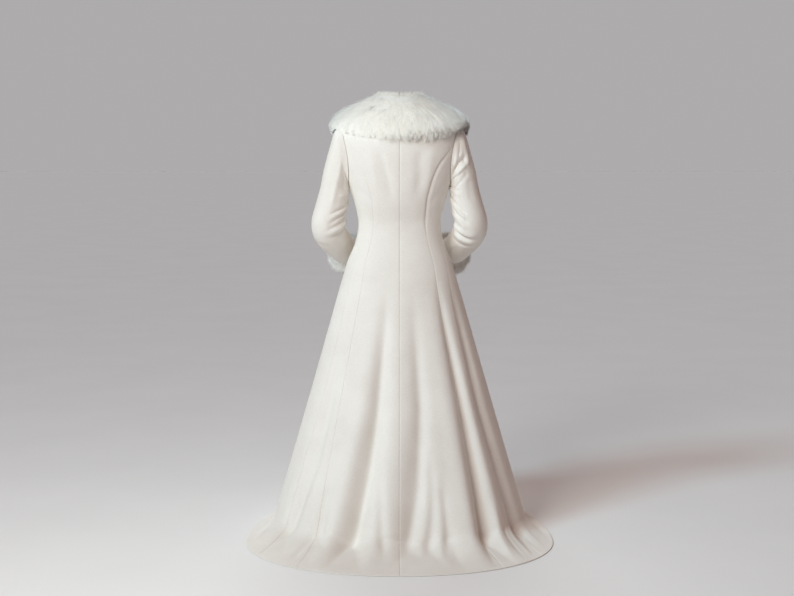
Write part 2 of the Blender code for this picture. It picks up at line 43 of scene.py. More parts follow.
# The coat's form, as the solids have it: level sections from the nape down, then a curve
# out over the foot of the skirt to the hem on the floor.
# Section columns: height, half width, y of the back, y of the front, y of the widest
# place, power of the superellipse (2 is an ellipse).
coat = {
    "floorZ": -1.44,
    "bend": 1.395,              # drop below the nape at which the skirt turns out to the hem
    "footRun": 0.25,            # metres from there to the hem, as the creases count them
    "clothOnFloor": 0.003,
    "probe": (0.1, 0.0004),     # degrees and drop of the small steps that give a normal
    "sections": np.array([
        (0.04, 0.07, 0.057, -0.05, 0, 2),
        (0, 0.072, 0.058, -0.052, 0, 2),
        (-0.02, 0.112, 0.068, -0.058, 0, 2.1),
        (-0.045, 0.172, 0.079, -0.068, 0, 2.2),
        (-0.06, 0.202, 0.085, -0.074, 0, 2.3),
        (-0.1, 0.202, 0.098, -0.09, 0, 2.4),
        (-0.158, 0.196, 0.11, -0.113, 0, 2.4),
        (-0.215, 0.187, 0.114, -0.131, 0, 2.4),
        (-0.256, 0.178, 0.113, -0.137, 0, 2.3),
        (-0.33, 0.156, 0.101, -0.125, 0, 2.2),
        (-0.4, 0.143, 0.086, -0.108, 0, 2.2),
        (-0.46, 0.153, 0.093, -0.112, 0, 2.2),
        (-0.53, 0.181, 0.117, -0.125, 0.004, 2.2),
        (-0.6, 0.202, 0.139, -0.139, 0.01, 2.15),
        (-0.74, 0.244, 0.182, -0.165, 0.02, 2.1),
        (-1, 0.321, 0.272, -0.217, 0.045, 2.1),
        (-1.25, 0.394, 0.372, -0.268, 0.07, 2.1),
        (-1.44, 0.449, 0.462, -0.308, 0.09, 2.1),
    ]),
    "hem": (0.512, 0.712, -0.355, 0.3, 2.12),       # half width, back, front, middle, power
}


def follow(table, at):
    # the other columns of a table at values of its first one: cubic pieces through every
    # row, whose slopes are the weighted means of the steps on both sides
    falling = table[0, 0] > table[-1, 0]
    knots = -table[:, 0] if falling else table[:, 0]
    place = -np.asarray(at, float) if falling else np.asarray(at, float)
    values = table[:, 1:]
    place = np.clip(place, knots[0], knots[-1])
    step = np.diff(knots)
    slope = np.diff(values, axis=0) / step[:, None]
    share = (step[:-1] / (step[:-1] + step[1:]))[:, None]
    lean = np.vstack([slope[:1], slope[:-1] * (1 - share) + slope[1:] * share, slope[-1:]])
    lean[1:-1][slope[:-1] * slope[1:] <= 0] = 0
    i = np.clip(np.searchsorted(knots, place, side="right") - 1, 0, len(step) - 1)
    t = ((place - knots[i]) / step[i])[..., None]
    width = step[i][..., None]
    return ((2 * t**3 - 3 * t**2 + 1) * values[i] + (t**3 - 2 * t**2 + t) * width * lean[i]
            + (3 * t**2 - 2 * t**3) * values[i + 1] + (t**3 - t**2) * width * lean[i + 1])


def easeIn(value, start, end):
    # 0 before start, 1 past end, and 3t^2 - 2t^3 between
    t = np.clip((value - start) / (end - start), 0, 1)
    return t * t * (3 - 2 * t)


def unit(vectors, least=0.0):
    # vectors over their own lengths, where least keeps one without length from dividing by 0
    return vectors / (np.linalg.norm(vectors, axis=-1, keepdims=True) + least)


def oval(angle, z, half, back, front, middle, power):
    # level superellipse: x = half * sin^(2/power), y = middle + depth * cos^(2/power)
    across, along = np.sin(np.radians(angle)), np.cos(np.radians(angle))
    x = half * np.sign(across) * np.abs(across) ** (2 / power)
    depth = np.where(along > 0, back - middle, middle - front)
    return np.stack([x, middle + depth * np.sign(along) * np.abs(along) ** (2 / power), z], -1)


def levelRing(table, angle, z):
    # the oval that a table's sections give at a height
    angle, z = np.broadcast_arrays(np.asarray(angle, float), np.asarray(z, float))
    return oval(angle, z, *np.moveaxis(follow(table, z), -1, 0))


def plainForm(angle, drop):
    # the coat without folds: drop is the depth below the nape down to the bend, and counts
    # on by 1 from there to the hem along a quadratic curve through the foot's outline
    angle, drop = np.broadcast_arrays(np.asarray(angle, float), np.asarray(drop, float))
    hanging = levelRing(coat["sections"], angle, -np.minimum(drop, coat["bend"]))
    q = np.clip(drop - coat["bend"], 0, 1.01)[..., None]      # past the hem for its normal
    foot = levelRing(coat["sections"], angle, np.full_like(drop, coat["floorZ"]))
    foot[..., 2] += coat["clothOnFloor"]
    hem = oval(angle, foot[..., 2], *coat["hem"])
    return (1 - q) ** 2 * hanging + 2 * q * (1 - q) * foot + q**2 * hem


def outward(surface, angle, drop):
    # unit normal of a surface of angle and drop, from small steps both ways
    turn, fall = coat["probe"]
    along = surface(angle + turn, drop) - surface(angle - turn, drop)
    down = surface(angle, drop + fall) - surface(angle, drop - fall)
    return unit(np.cross(along, down))


# Broad folds of the skirt, as in the solids. Columns: height of the top, degrees round from
# the centre back at the top, half way and floor, half width in degrees, depth at the floor.
folds = {
    "halfWayZ": -1.0,
    "growth": 1.15,
    "fade": 0.7,
    "rows": np.array([
        (-0.58, 10.5, 12, 20, 5.2, -0.037),
        (-0.6, -11.5, -12, -3.5, 5.2, -0.024),
        (-0.54, -38, -40, -38.5, 4.2, -0.034),
        (-0.56, -59, -56.5, -63.5, 4.6, -0.019),
        (-0.72, 47, 47.5, 57, 6, -0.02),
        (-0.6, -27, -29.5, -32, 7, 0.021),
        (-0.62, -46.5, -45.5, -49, 5, 0.015),
        (-0.66, 22, 22.5, 30, 6, 0.015),
        (-0.7, 0.5, 1.5, 8, 6, 0.013),
        (-1.24, 8.5, 8, 6, 3, -0.01),
        (-1.26, -15, -15, -12, 3.4, -0.016),
        (-1.3, -22, -22, -21, 2.6, -0.01),
        (-1.24, 35, 35, 36, 3.6, -0.012),
        (-0.62, 88, 90, 94, 7.5, -0.022),
        (-0.66, -92, -93, -97, 7.5, -0.024),
        (-0.7, 108, 110, 114, 7, 0.014),
        (-0.7, -112, -112, -115, 7, 0.014),
        (-0.6, 130, 131, 133, 6, -0.026),
        (-0.62, -131, -133, -136, 6, -0.024),
        (-0.68, 158, 157, 156, 6, -0.018),
        (-0.72, -157, -156, -154, 6, -0.02),
    ]),
}


def foldDepth(angle, drop):
    # sum over the folds of depth * growth * exp(-(turn / half)^2), flattening on the floor
    z = np.maximum(-drop, coat["floorZ"])
    spent = np.clip(drop - coat["bend"], 0, 1)
    total = np.zeros(np.broadcast(angle, drop).shape)
    for top, first, second, third, half, depth in folds["rows"]:
        long = top > folds["halfWayZ"]
        knots = (-top, -folds["halfWayZ"], -coat["floorZ"]) if long else (-top, -coat["floorZ"])
        centre = np.interp(-z, knots, (first, second, third) if long else (first, third))
        grown = np.clip((top - z) / (top - coat["floorZ"]), 0, 1) ** folds["growth"]
        total += depth * grown * np.exp(-(((angle - centre) / half) ** 2))
    return total * (1 - spent) ** folds["fade"]


# Creases laid on top of the folds. Each row is a half width and a depth in
# millimetres (negative runs in), then the degrees and drops of its path.
creases = {
    "fade": (0.24, 0.22),       # share of a path's length over which each end comes in
    "skirt": [
        (17, -8, (10.5, 0.62), (12, 1), (14.5, 1.22), (19, 1.39), (22, 1.9)),
        (18, -5, (-11.5, 0.66), (-12, 1), (-9, 1.25), (-4, 1.39), (-2, 1.8)),
        (11, -6, (-37.5, 0.56), (-40, 0.98), (-40, 1.25), (-38.5, 1.39), (-36, 2.05)),
        (12, -7, (-59, 0.58), (-56.5, 1), (-63, 1.36), (-58, 2)),
        (16, -5, (47, 0.8), (47.5, 1.2), (57, 1.4), (63, 2)),
        (13, -4.5, (9.5, 1.16), (7.5, 1.33), (5.5, 2.05)),
        (15, -5, (-15.5, 1.12), (-14.5, 1.33), (-10, 1.9)),
        (13, -4.5, (-20.5, 1.22), (-20, 1.38), (-17, 2.15)),
        (14, -5, (35.5, 1.22), (36, 1.39), (30.5, 2.05)),
        (12, 5, (-46.5, 1.3), (-46, 1.6), (-46, 2.33)),
        (9, -4, (-51, 1.36), (-50.5, 1.7), (-51.5, 2.36)),
        (10, 4, (-55.5, 1.4), (-55.5, 1.8), (-57, 2.36)),
        (10, 4, (-67.5, 1.42), (-69.5, 1.8), (-70, 2.36)),
        (12, 4, (72, 1.3), (76, 1.6), (80, 2.3)),
        (11, -4, (39, 1.45), (41, 1.8), (43, 2.3)),
        (14, -6, (88.5, 0.7), (90, 1.05), (94, 1.39), (95, 1.9)),
        (14, -6, (-92.5, 0.72), (-93, 1.05), (-97, 1.39), (-98, 1.9)),
        (13, -7, (130.5, 0.66), (131, 1.05), (133, 1.39), (134, 1.9)),
        (13, -6, (-131.5, 0.68), (-133, 1.05), (-136, 1.39), (-137, 1.9)),
        (12, -5, (157.5, 0.8), (157, 1.1), (156, 1.39), (155.5, 1.9)),
        (12, -5, (-156.5, 0.82), (-156, 1.1), (-154, 1.39), (-153.5, 1.9)),
        (12, -5, (104, 1.2), (102, 1.39), (101, 2.1)),
        (12, -5, (-105, 1.24), (-104, 1.39), (-103, 2.1)),
    ],
    "bodice": [
        (6, -3, (-66, 0.128), (-55, 0.158), (-44, 0.189), (-38.5, 0.216), (-35.6, 0.25), (-34.6, 0.3),
         (-36.4, 0.38), (-37.5, 0.44)),
        (15, -3, (18, 0.135), (13.5, 0.176), (10, 0.244), (8.5, 0.33)),
        (18, -3.4, (-19, 0.13), (-16.5, 0.18), (-18.5, 0.24), (-20, 0.316)),
        (14, 1.6, (-30, 0.13), (-30, 0.2), (-28.5, 0.3)),
        (12, 1.8, (27, 0.14), (24, 0.21), (22, 0.29)),
        (10, -1.8, (60, 0.262), (44, 0.3), (30, 0.33)),
        (10, -2, (-62, 0.266), (-47, 0.306), (-34, 0.338)),
        (8, -1.2, (30, 0.395), (16, 0.405), (4, 0.4)),
        (8, -1.2, (-33, 0.388), (-18, 0.398), (-5, 0.394)),
        (10, -2, (100, 0.29), (118, 0.33), (132, 0.352)),
        (10, -2, (-101, 0.286), (-117, 0.322), (-133, 0.346)),
    ],
}


def pathTrough(across, perStep, down, crease):
    # depth * exp(-(distance to the path / width)^2), less towards both ends; across(a) and
    # down(d) give metres from a path point to the grid, and perStep metres per degree or corner
    width, depth, *path = crease
    best, place = np.inf, 0.0
    for i, ((a0, d0), (a1, d1)) in enumerate(zip(path[:-1], path[1:])):
        px, py = across(a0), down(d0)
        rx, ry = (a1 - a0) * perStep, py - down(d1)
        t = np.clip((px * rx + py * ry) / (rx * rx + ry * ry + 1e-12), 0, 1)
        far = (px - t * rx) ** 2 + (py - t * ry) ** 2
        nearer = far < best
        best, place = np.where(nearer, far, best), np.where(nearer, (i + t) / (len(path) - 1), place)
    start, end = creases["fade"]
    return (depth / 1000 * np.exp(-best / (width / 1000) ** 2)
            * easeIn(place, 0.0, start) * easeIn(1 - place, 0.0, end))


def clothFall(drop):
    # metres down the cloth: the drop itself as far as the bend, then footRun over the last 1
    bend = coat["bend"]
    return np.interp(drop, (0, bend, bend + 1), (0, bend, bend + coat["footRun"]))


def creaseDepth(angle, drop):
    # all creases at a point, measured in metres along the plain form
    perDegree = np.linalg.norm(plainForm(angle + 0.5, drop) - plainForm(angle - 0.5, drop), axis=-1)
    fall = clothFall(drop)
    return sum(pathTrough(lambda a: (angle - a) * perDegree, perDegree, lambda d: fall - clothFall(d), crease)
               for crease in creases["skirt"] + creases["bodice"])


def coatForm(angle, drop):
    # plain form + (folds + creases) along its normal, never sinking into the floor
    angle, drop = np.broadcast_arrays(np.asarray(angle, float), np.asarray(drop, float))
    moved = foldDepth(angle, drop) + creaseDepth(angle, drop)
    points = plainForm(angle, drop) + moved[..., None] * outward(plainForm, angle, drop)
    points[..., 2] = np.maximum(points[..., 2], coat["floorZ"] + coat["clothOnFloor"])
    return points


# Cloth pieces: wall and the rounding beside seams and free edges
cloth = {
    "wall": 0.0028,
    "seamDip": 0.001,                                       # how far the face rolls in at an edge
    "innerDip": 0.0007,
    "edgeSteps": np.array([0, 0.0005, 0.0013, 0.0025, 0.0042]),     # metres in from the edge
    "seamGap": 0.00014,
    "narrow": 0.04,             # a panel's width below which its rounding narrows with it
    "spanPoints": 9,            # points across a panel that give its width
}
edgeShare = cloth["edgeSteps"] / cloth["edgeSteps"][-1]
edgeRoll = 1 - np.sqrt(1 - (1 - edgeShare) ** 2)            # quarter circle, 1 at the edge
edgeCount = len(edgeRoll)


def gridNormals(grid):
    # unit normals of a grid, from the differences along its columns and rows
    return unit(np.cross(np.gradient(grid, axis=1), np.gradient(grid, axis=0)), 1e-12)


def facing(normals, away):
    # normals turned to the side that they are wanted on
    return normals * np.sign((normals * away).sum(-1, keepdims=True))


def arcLengths(grid, axis):
    # running length along one direction of a grid, from 0 at its first row or column
    steps = np.linalg.norm(np.diff(grid, axis=axis), axis=-1)
    start = np.zeros_like(np.take(steps, [0], axis=axis))
    return np.concatenate([start, np.cumsum(steps, axis=axis)], axis=axis)


def meshFrom(name, points, faces, material, uv=None, values=None):
    # one closed mesh from points and faces of equal corner count; the faces are turned
    # round where the volume they enclose comes out negative
    faces = np.asarray(faces, np.int32)
    a, b, c = (points[faces[:, i]] for i in (0, 1, 2))
    volume = np.einsum("ij,ij->i", a, np.cross(b, c)).sum()
    if faces.shape[1] == 4:
        volume += np.einsum("ij,ij->i", a, np.cross(c, points[faces[:, 3]])).sum()
    if volume < 0:
        faces = faces[:, ::-1]
    mesh = bpy.data.meshes.new(name)
    mesh.vertices.add(len(points))
    mesh.vertices.foreach_set("co", points.astype(np.float32).ravel())
    mesh.loops.add(faces.size)
    mesh.loops.foreach_set("vertex_index", faces.ravel())
    mesh.polygons.add(len(faces))
    mesh.polygons.foreach_set("loop_start", np.arange(0, faces.size, faces.shape[1], dtype=np.int32))
    mesh.update(calc_edges=True)
    mesh.validate()
    if uv is not None:
        layer = mesh.uv_layers.new(name="UVMap")
        layer.data.foreach_set("uv", uv[faces.ravel()].astype(np.float32).ravel())
    for label, data in (values or {}).items():
        mesh.attributes.new(label, "FLOAT", "POINT").data.foreach_set("value", data.astype(np.float32))
    mesh.shade_smooth()
    mesh.materials.append(material)
    piece = bpy.data.objects.new(name, mesh)
    bpy.context.scene.collection.objects.link(piece)
    return piece


def shellFaces(rows, columns, closedRound=False):
    # quads of two grids of the same size, one over the other, and of the rim between them
    number = np.arange(rows * columns).reshape(rows, columns)
    other = rows * columns
    if closedRound:
        number = np.hstack([number, number[:, :1]])
    a, b, c, d = number[:-1, :-1], number[:-1, 1:], number[1:, 1:], number[1:, :-1]

    def quads(*corners):
        # one face for each place in the corners' grids
        return np.stack([corner.ravel() for corner in corners], -1)

    faces = [quads(a, b, c, d), quads(d, c, b, a) + other]
    top, end, low, high = number[0], number[-1], number[:, 0], number[:, -1]
    rims = [(top[1:], top[:-1]), (end[:-1], end[1:]), (low[:-1], low[1:]), (high[1:], high[:-1])]
    for start, after in rims[:2] if closedRound else rims:
        faces.append(quads(start, after, after + other, start + other))
    return np.concatenate(faces)


def standFor(piece, solid):
    # a finished piece rides on the coat and takes the place of its solid
    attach(piece, "root")
    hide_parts(solid)
    return piece


def solidOf(name):
    # the solid that a piece is named for: sideBackLeft stands for side_back_left
    return "".join("_" + letter.lower() if letter.isupper() else letter for letter in name)


def clothPiece(name, grid, dip):
    # thin shell: the face is the grid less dip along its normal, the back lies a wall
    # deeper and rises a little at the edges; the UV map is in metres along the cloth
    away = gridNormals(grid)
    face = grid - (dip * cloth["seamDip"])[..., None] * away
    back = grid - (cloth["wall"] - dip * cloth["innerDip"])[..., None] * away
    across, down = arcLengths(grid, 1), arcLengths(grid, 0)
    middle = across[:, across.shape[1] // 2][:, None]
    uv = np.stack([across - middle, -down], -1).reshape(-1, 2)
    piece = meshFrom(name, np.concatenate([face.reshape(-1, 3), back.reshape(-1, 3)]),
                     shellFaces(*grid.shape[:2]), woolCloth, np.concatenate([uv, uv]))
    standFor(piece, solidOf(name))


# Wool coating: ivory, fulled, with a short nap that runs down the cloth
woolLook = {
    "shade": (0.755, 0.72, 0.665),
    "colour": (0.815, 0.785, 0.735),
    "light": (0.865, 0.838, 0.792),
    "toneStops": (0.36, 0.5, 0.66),         # where those three lie in the pattern
    "roughness": 0.86,
    "roughSpread": 0.08,
    "sheen": 0.12,
    "sheenRoughness": 0.42,
    "sheenTint": (1.0, 0.96, 0.9),
    "specular": 0.25,
    "napPerMetre": (1500.0, 520.0),         # across and along the cloth
    "feltPerMetre": 190.0,
    "cloudPerMetre": 9.0,
    "napNoise": (4.0, 0.62, 0.6),           # detail, roughness and distortion
    "feltNoise": (5.0, 0.6),
    "cloudNoise": (3.0,),
    "napShare": 0.55,                       # the felt has the rest
    "cloudShare": 0.3,                      # nap and felt have the rest
    "bump": 0.34,
    "bumpDepth": 0.0006,
}


def feed(made, inputs):
    # a node's inputs by name or number: another node's output is linked, a value is set
    for key, value in inputs.items():
        if isinstance(value, bpy.types.NodeSocket):
            made.id_data.links.new(value, made.inputs[key])
        else:
            made.inputs[key].default_value = value
    return made


def node(tree, kind, inputs=None, **settings):
    # a new node with its settings and inputs
    made = tree.nodes.new(kind)
    for key, value in settings.items():
        setattr(made, key, value)
    return feed(made, inputs or {})


def newMaterial(name):
    # a material, its node tree and the shader in it
    material = bpy.data.materials.new(name)
    material.use_nodes = True
    return material, material.node_tree, material.node_tree.nodes["Principled BSDF"]


def noise(tree, place, scale, detail, roughness=0.5, distortion=0.0):
    # value of a noise at a place, about 0.5 in the mean
    return node(tree, "ShaderNodeTexNoise", {"Vector": place, "Scale": scale, "Detail": detail,
                                             "Roughness": roughness, "Distortion": distortion}).outputs["Fac"]


def mixOf(tree, first, second, share):
    # first * share + second * (1 - share)
    rest = node(tree, "ShaderNodeMath", {0: second, 1: 1 - share}, operation="MULTIPLY")
    return node(tree, "ShaderNodeMath", {0: first, 1: share, 2: rest.outputs[0]},
                operation="MULTIPLY_ADD").outputs[0]


def ramp(tree, share, stops):
    # colour at a share from (place, colour) stops
    made = node(tree, "ShaderNodeValToRGB", {"Fac": share})
    elements = made.color_ramp.elements
    while len(elements) < len(stops):
        elements.new(0.5)
    for element, (place, colour) in zip(elements, stops):
        element.position = place
        element.color = (*colour, 1.0)
    return made.outputs["Color"]


def clothMaterial(name, look, scale=1.0):
    # base colour from slow clouds, felted clumps and nap fibres; the same two fine
    # patterns raise the surface by a fraction of a millimetre
    material, tree, shader = newMaterial(name)
    place = node(tree, "ShaderNodeTexCoord").outputs
    across, along = look["napPerMetre"]
    nap = node(tree, "ShaderNodeMapping", {"Vector": place["UV"],
                                           "Scale": (across * scale, along * scale, 1.0)})
    fibres = noise(tree, nap.outputs["Vector"], 1.0, *look["napNoise"])
    felt = noise(tree, place["Object"], look["feltPerMetre"] * scale, *look["feltNoise"])
    cloud = noise(tree, place["Object"], look["cloudPerMetre"], *look["cloudNoise"])
    fine = mixOf(tree, fibres, felt, look["napShare"])
    tones = ramp(tree, mixOf(tree, cloud, fine, look["cloudShare"]),
                 list(zip(look["toneStops"], (look["shade"], look["colour"], look["light"]))))
    rough = node(tree, "ShaderNodeMapRange", {"Value": felt,
                                              "To Min": look["roughness"] - look["roughSpread"],
                                              "To Max": look["roughness"] + look["roughSpread"]})
    bump = node(tree, "ShaderNodeBump", {"Strength": look["bump"], "Distance": look["bumpDepth"],
                                         "Height": fine})
    feed(shader, {"Base Color": tones, "Roughness": rough.outputs["Result"], "Normal": bump.outputs["Normal"],
                  "Sheen Weight": look["sheen"], "Sheen Roughness": look["sheenRoughness"],
                  "Sheen Tint": (*look["sheenTint"], 1.0), "Specular IOR Level": look["specular"]})
    return material


woolCloth = clothMaterial("woolCloth", woolLook)

# Seams and edges that bound the panels, as in the solids. Heights against degrees round
# from the centre back; the front's edge against how far it stops short of the centre line.
cut = {
    "armTopZ": -0.06, "armFootZ": -0.256, "armTopAngle": 90.0, "armFootAngle": 84.0,
    "armSpread": 22.0, "armSides": 16,
    "lap": 0.0042, "lapRiseZ": (-0.2, -0.26), "lapRiseX": (0.062, 0.032),
    "backPrincess": np.array([
        (-0.1205, 67.5), (-0.142, 62), (-0.158, 55), (-0.189, 44), (-0.216, 38.5),
        (-0.248, 35.8), (-0.3, 34.6), (-0.4, 36.8), (-0.49, 38.3), (-0.6, 38),
        (-1.44, 38),
    ]),
    "sideSeam": np.array([
        (-0.256, 84), (-0.33, 79), (-0.4, 72), (-0.53, 62), (-0.65, 57),
        (-0.8, 55), (-1, 56), (-1.2, 59), (-1.44, 62),
    ]),
    "frontPrincess": np.array([
        (-0.158, 114.5), (-0.189, 127), (-0.216, 135), (-0.256, 141), (-0.33, 144),
        (-0.4, 144), (-0.53, 143), (-0.74, 144), (-1.44, 146),
    ]),
    "frontEdge": np.array([
        (0, 0.066), (-0.02, 0.07), (-0.045, 0.068), (-0.06, 0.065), (-0.1, 0.056),
        (-0.158, 0.041), (-0.215, 0.023), (-0.256, 0.008), (-0.29, -0.01),
        (-0.33, -0.025), (-1.44, -0.025),
    ]),
    "columns": {"back": 38, "sideBack": 28, "sideFront": 36, "front": 24},
    "armDip": {"Left": 0.3, "Right": 1.0},      # how far the cloth rolls in at the armhole seam
}
armZ, armHalf = (cut["armTopZ"] + cut["armFootZ"]) / 2, (cut["armTopZ"] - cut["armFootZ"]) / 2


def armLine(z):
    # degrees of the armhole's middle line, straight from its foot to its top
    level = (z - cut["armFootZ"]) / (2 * armHalf)
    return cut["armFootAngle"] + (cut["armTopAngle"] - cut["armFootAngle"]) * level


def armhole(corner):
    # upright oval on the body's side: corner 0 its back, 4 its top and 8 its front
    turn = 2 * np.pi * np.asarray(corner, float) / cut["armSides"]
    z = armZ + armHalf * np.sin(turn)
    return armLine(z) - cut["armSpread"] * np.cos(turn), z


def sideEdge(z, towardsFront):
    # shoulder line at 90 degrees above the armhole, then the armhole's back or front edge
    level = np.clip((z - armZ) / armHalf, -1, 1)
    spread = (1 if towardsFront else -1) * cut["armSpread"]
    return armLine(np.clip(z, cut["armFootZ"], cut["armTopZ"])) + spread * np.sqrt(1 - level**2)


def seamAt(seam):
    # a seam's values as a function of the height
    return lambda z: follow(cut[seam], z)[..., 0]


def armThen(seam, towardsFront, foot=cut["armFootZ"]):
    # an edge that follows the shoulder and armhole above a height, and a seam below it
    return lambda z: np.where(z > foot, sideEdge(z, towardsFront), seamAt(seam)(z))


def frontEdge(z):
    # degrees of the front's point this far from the centre line, and past 180 beyond it
    x = seamAt("frontEdge")(z)
    half, _, _, _, power = np.moveaxis(follow(coat["sections"], z), -1, 0)
    return 180 - np.sign(x) * np.degrees(np.arcsin(np.clip(np.abs(x) / half, 0, 1) ** (power / 2)))


def lapLift(angle, drop):
    # how far the upper front stands off where it lies on the lower one
    x = plainForm(angle, drop)[..., 0]
    return cut["lap"] * easeIn(x, *cut["lapRiseX"]) * easeIn(-drop, *cut["lapRiseZ"])


# rows of the body: top edge, shoulder, armhole, bodice, skirt, foot, and the hem's edge
bodyDrops = np.concatenate([
    [0, 0.0006, 0.002, 0.005], np.linspace(0.012, 0.052, 6),
    -(armZ + armHalf * np.sin(np.linspace(np.pi / 2, -np.pi / 2, 33))),
    np.arange(0.267, 0.66, 0.011), np.linspace(0.66, coat["bend"], 55),
    coat["bend"] + np.concatenate([np.linspace(0.05, 0.95, 19), [0.975, 0.986, 0.993, 0.9975, 1]]),
])


def panelPiece(name, label, side, left, right, firstDrop, openTop=False, lapped=False):
    # columns run from the left edge's angle to the right edge's, closer together beside
    # both; the first and last rows round over where they are free edges
    drops = bodyDrops[bodyDrops >= firstDrop - 1e-9]
    z = np.maximum(-drops, coat["floorZ"])
    first, width = left(z)[:, None], (right(z) - left(z))[:, None]
    ring = plainForm(first + width * np.linspace(0, 1, cloth["spanPoints"]), drops[:, None])
    span = np.linalg.norm(np.diff(ring, axis=1), axis=-1).sum(1)
    squeeze = np.minimum(1, span / cloth["narrow"])[:, None]
    steps = (cloth["edgeSteps"] * squeeze + cloth["seamGap"] / 2) / span[:, None]
    inner = np.linspace(0, 1, cut["columns"][name] + 1)[1:-1]
    low, high = steps[:, -1:], 1 - steps[:, -1:]
    share = np.concatenate([steps, low + (high - low) * inner, 1 - steps[:, ::-1]], axis=1)
    angle = side * (first + width * share)
    drop = np.broadcast_to(drops[:, None], angle.shape)
    grid = coatForm(angle, drop)
    if lapped:
        grid = grid + lapLift(side * angle, drop)[..., None] * outward(plainForm, angle, drop)
    dip = np.zeros(angle.shape)
    dip[:, :edgeCount] = edgeRoll * squeeze
    dip[:, -edgeCount:] = np.maximum(dip[:, -edgeCount:], edgeRoll[::-1] * squeeze)
    if name != "front":
        atArm = (z > cut["armFootZ"]) & (z < cut["armTopZ"])
        edge = slice(0, edgeCount) if name == "sideFront" else slice(-edgeCount, None)
        dip[atArm, edge] *= cut["armDip"][label]
    dip[-edgeCount:] = np.maximum(dip[-edgeCount:], edgeRoll[::-1][:, None])
    if openTop:
        dip[:4] = np.maximum(dip[:4], edgeRoll[:4][:, None])
    if side < 0:
        grid, dip = grid[:, ::-1], dip[:, ::-1]
    clothPiece(name + label, grid, dip)


backTip, frontTip = float(armhole(1)[1]), float(armhole(0)[1])
for label, side in sides:
    panelPiece("back", label, side, np.zeros_like, armThen("backPrincess", False, backTip + 1e-9), 0.0, True)
    panelPiece("sideBack", label, side, seamAt("backPrincess"), armThen("sideSeam", False), -backTip)
    panelPiece("sideFront", label, side, armThen("sideSeam", True), seamAt("frontPrincess"), -frontTip)
    panelPiece("front", label, side, armThen("frontPrincess", True, frontTip + 1e-9), frontEdge, 0.0, True,
               label == "Right")
print("body panels laid out")

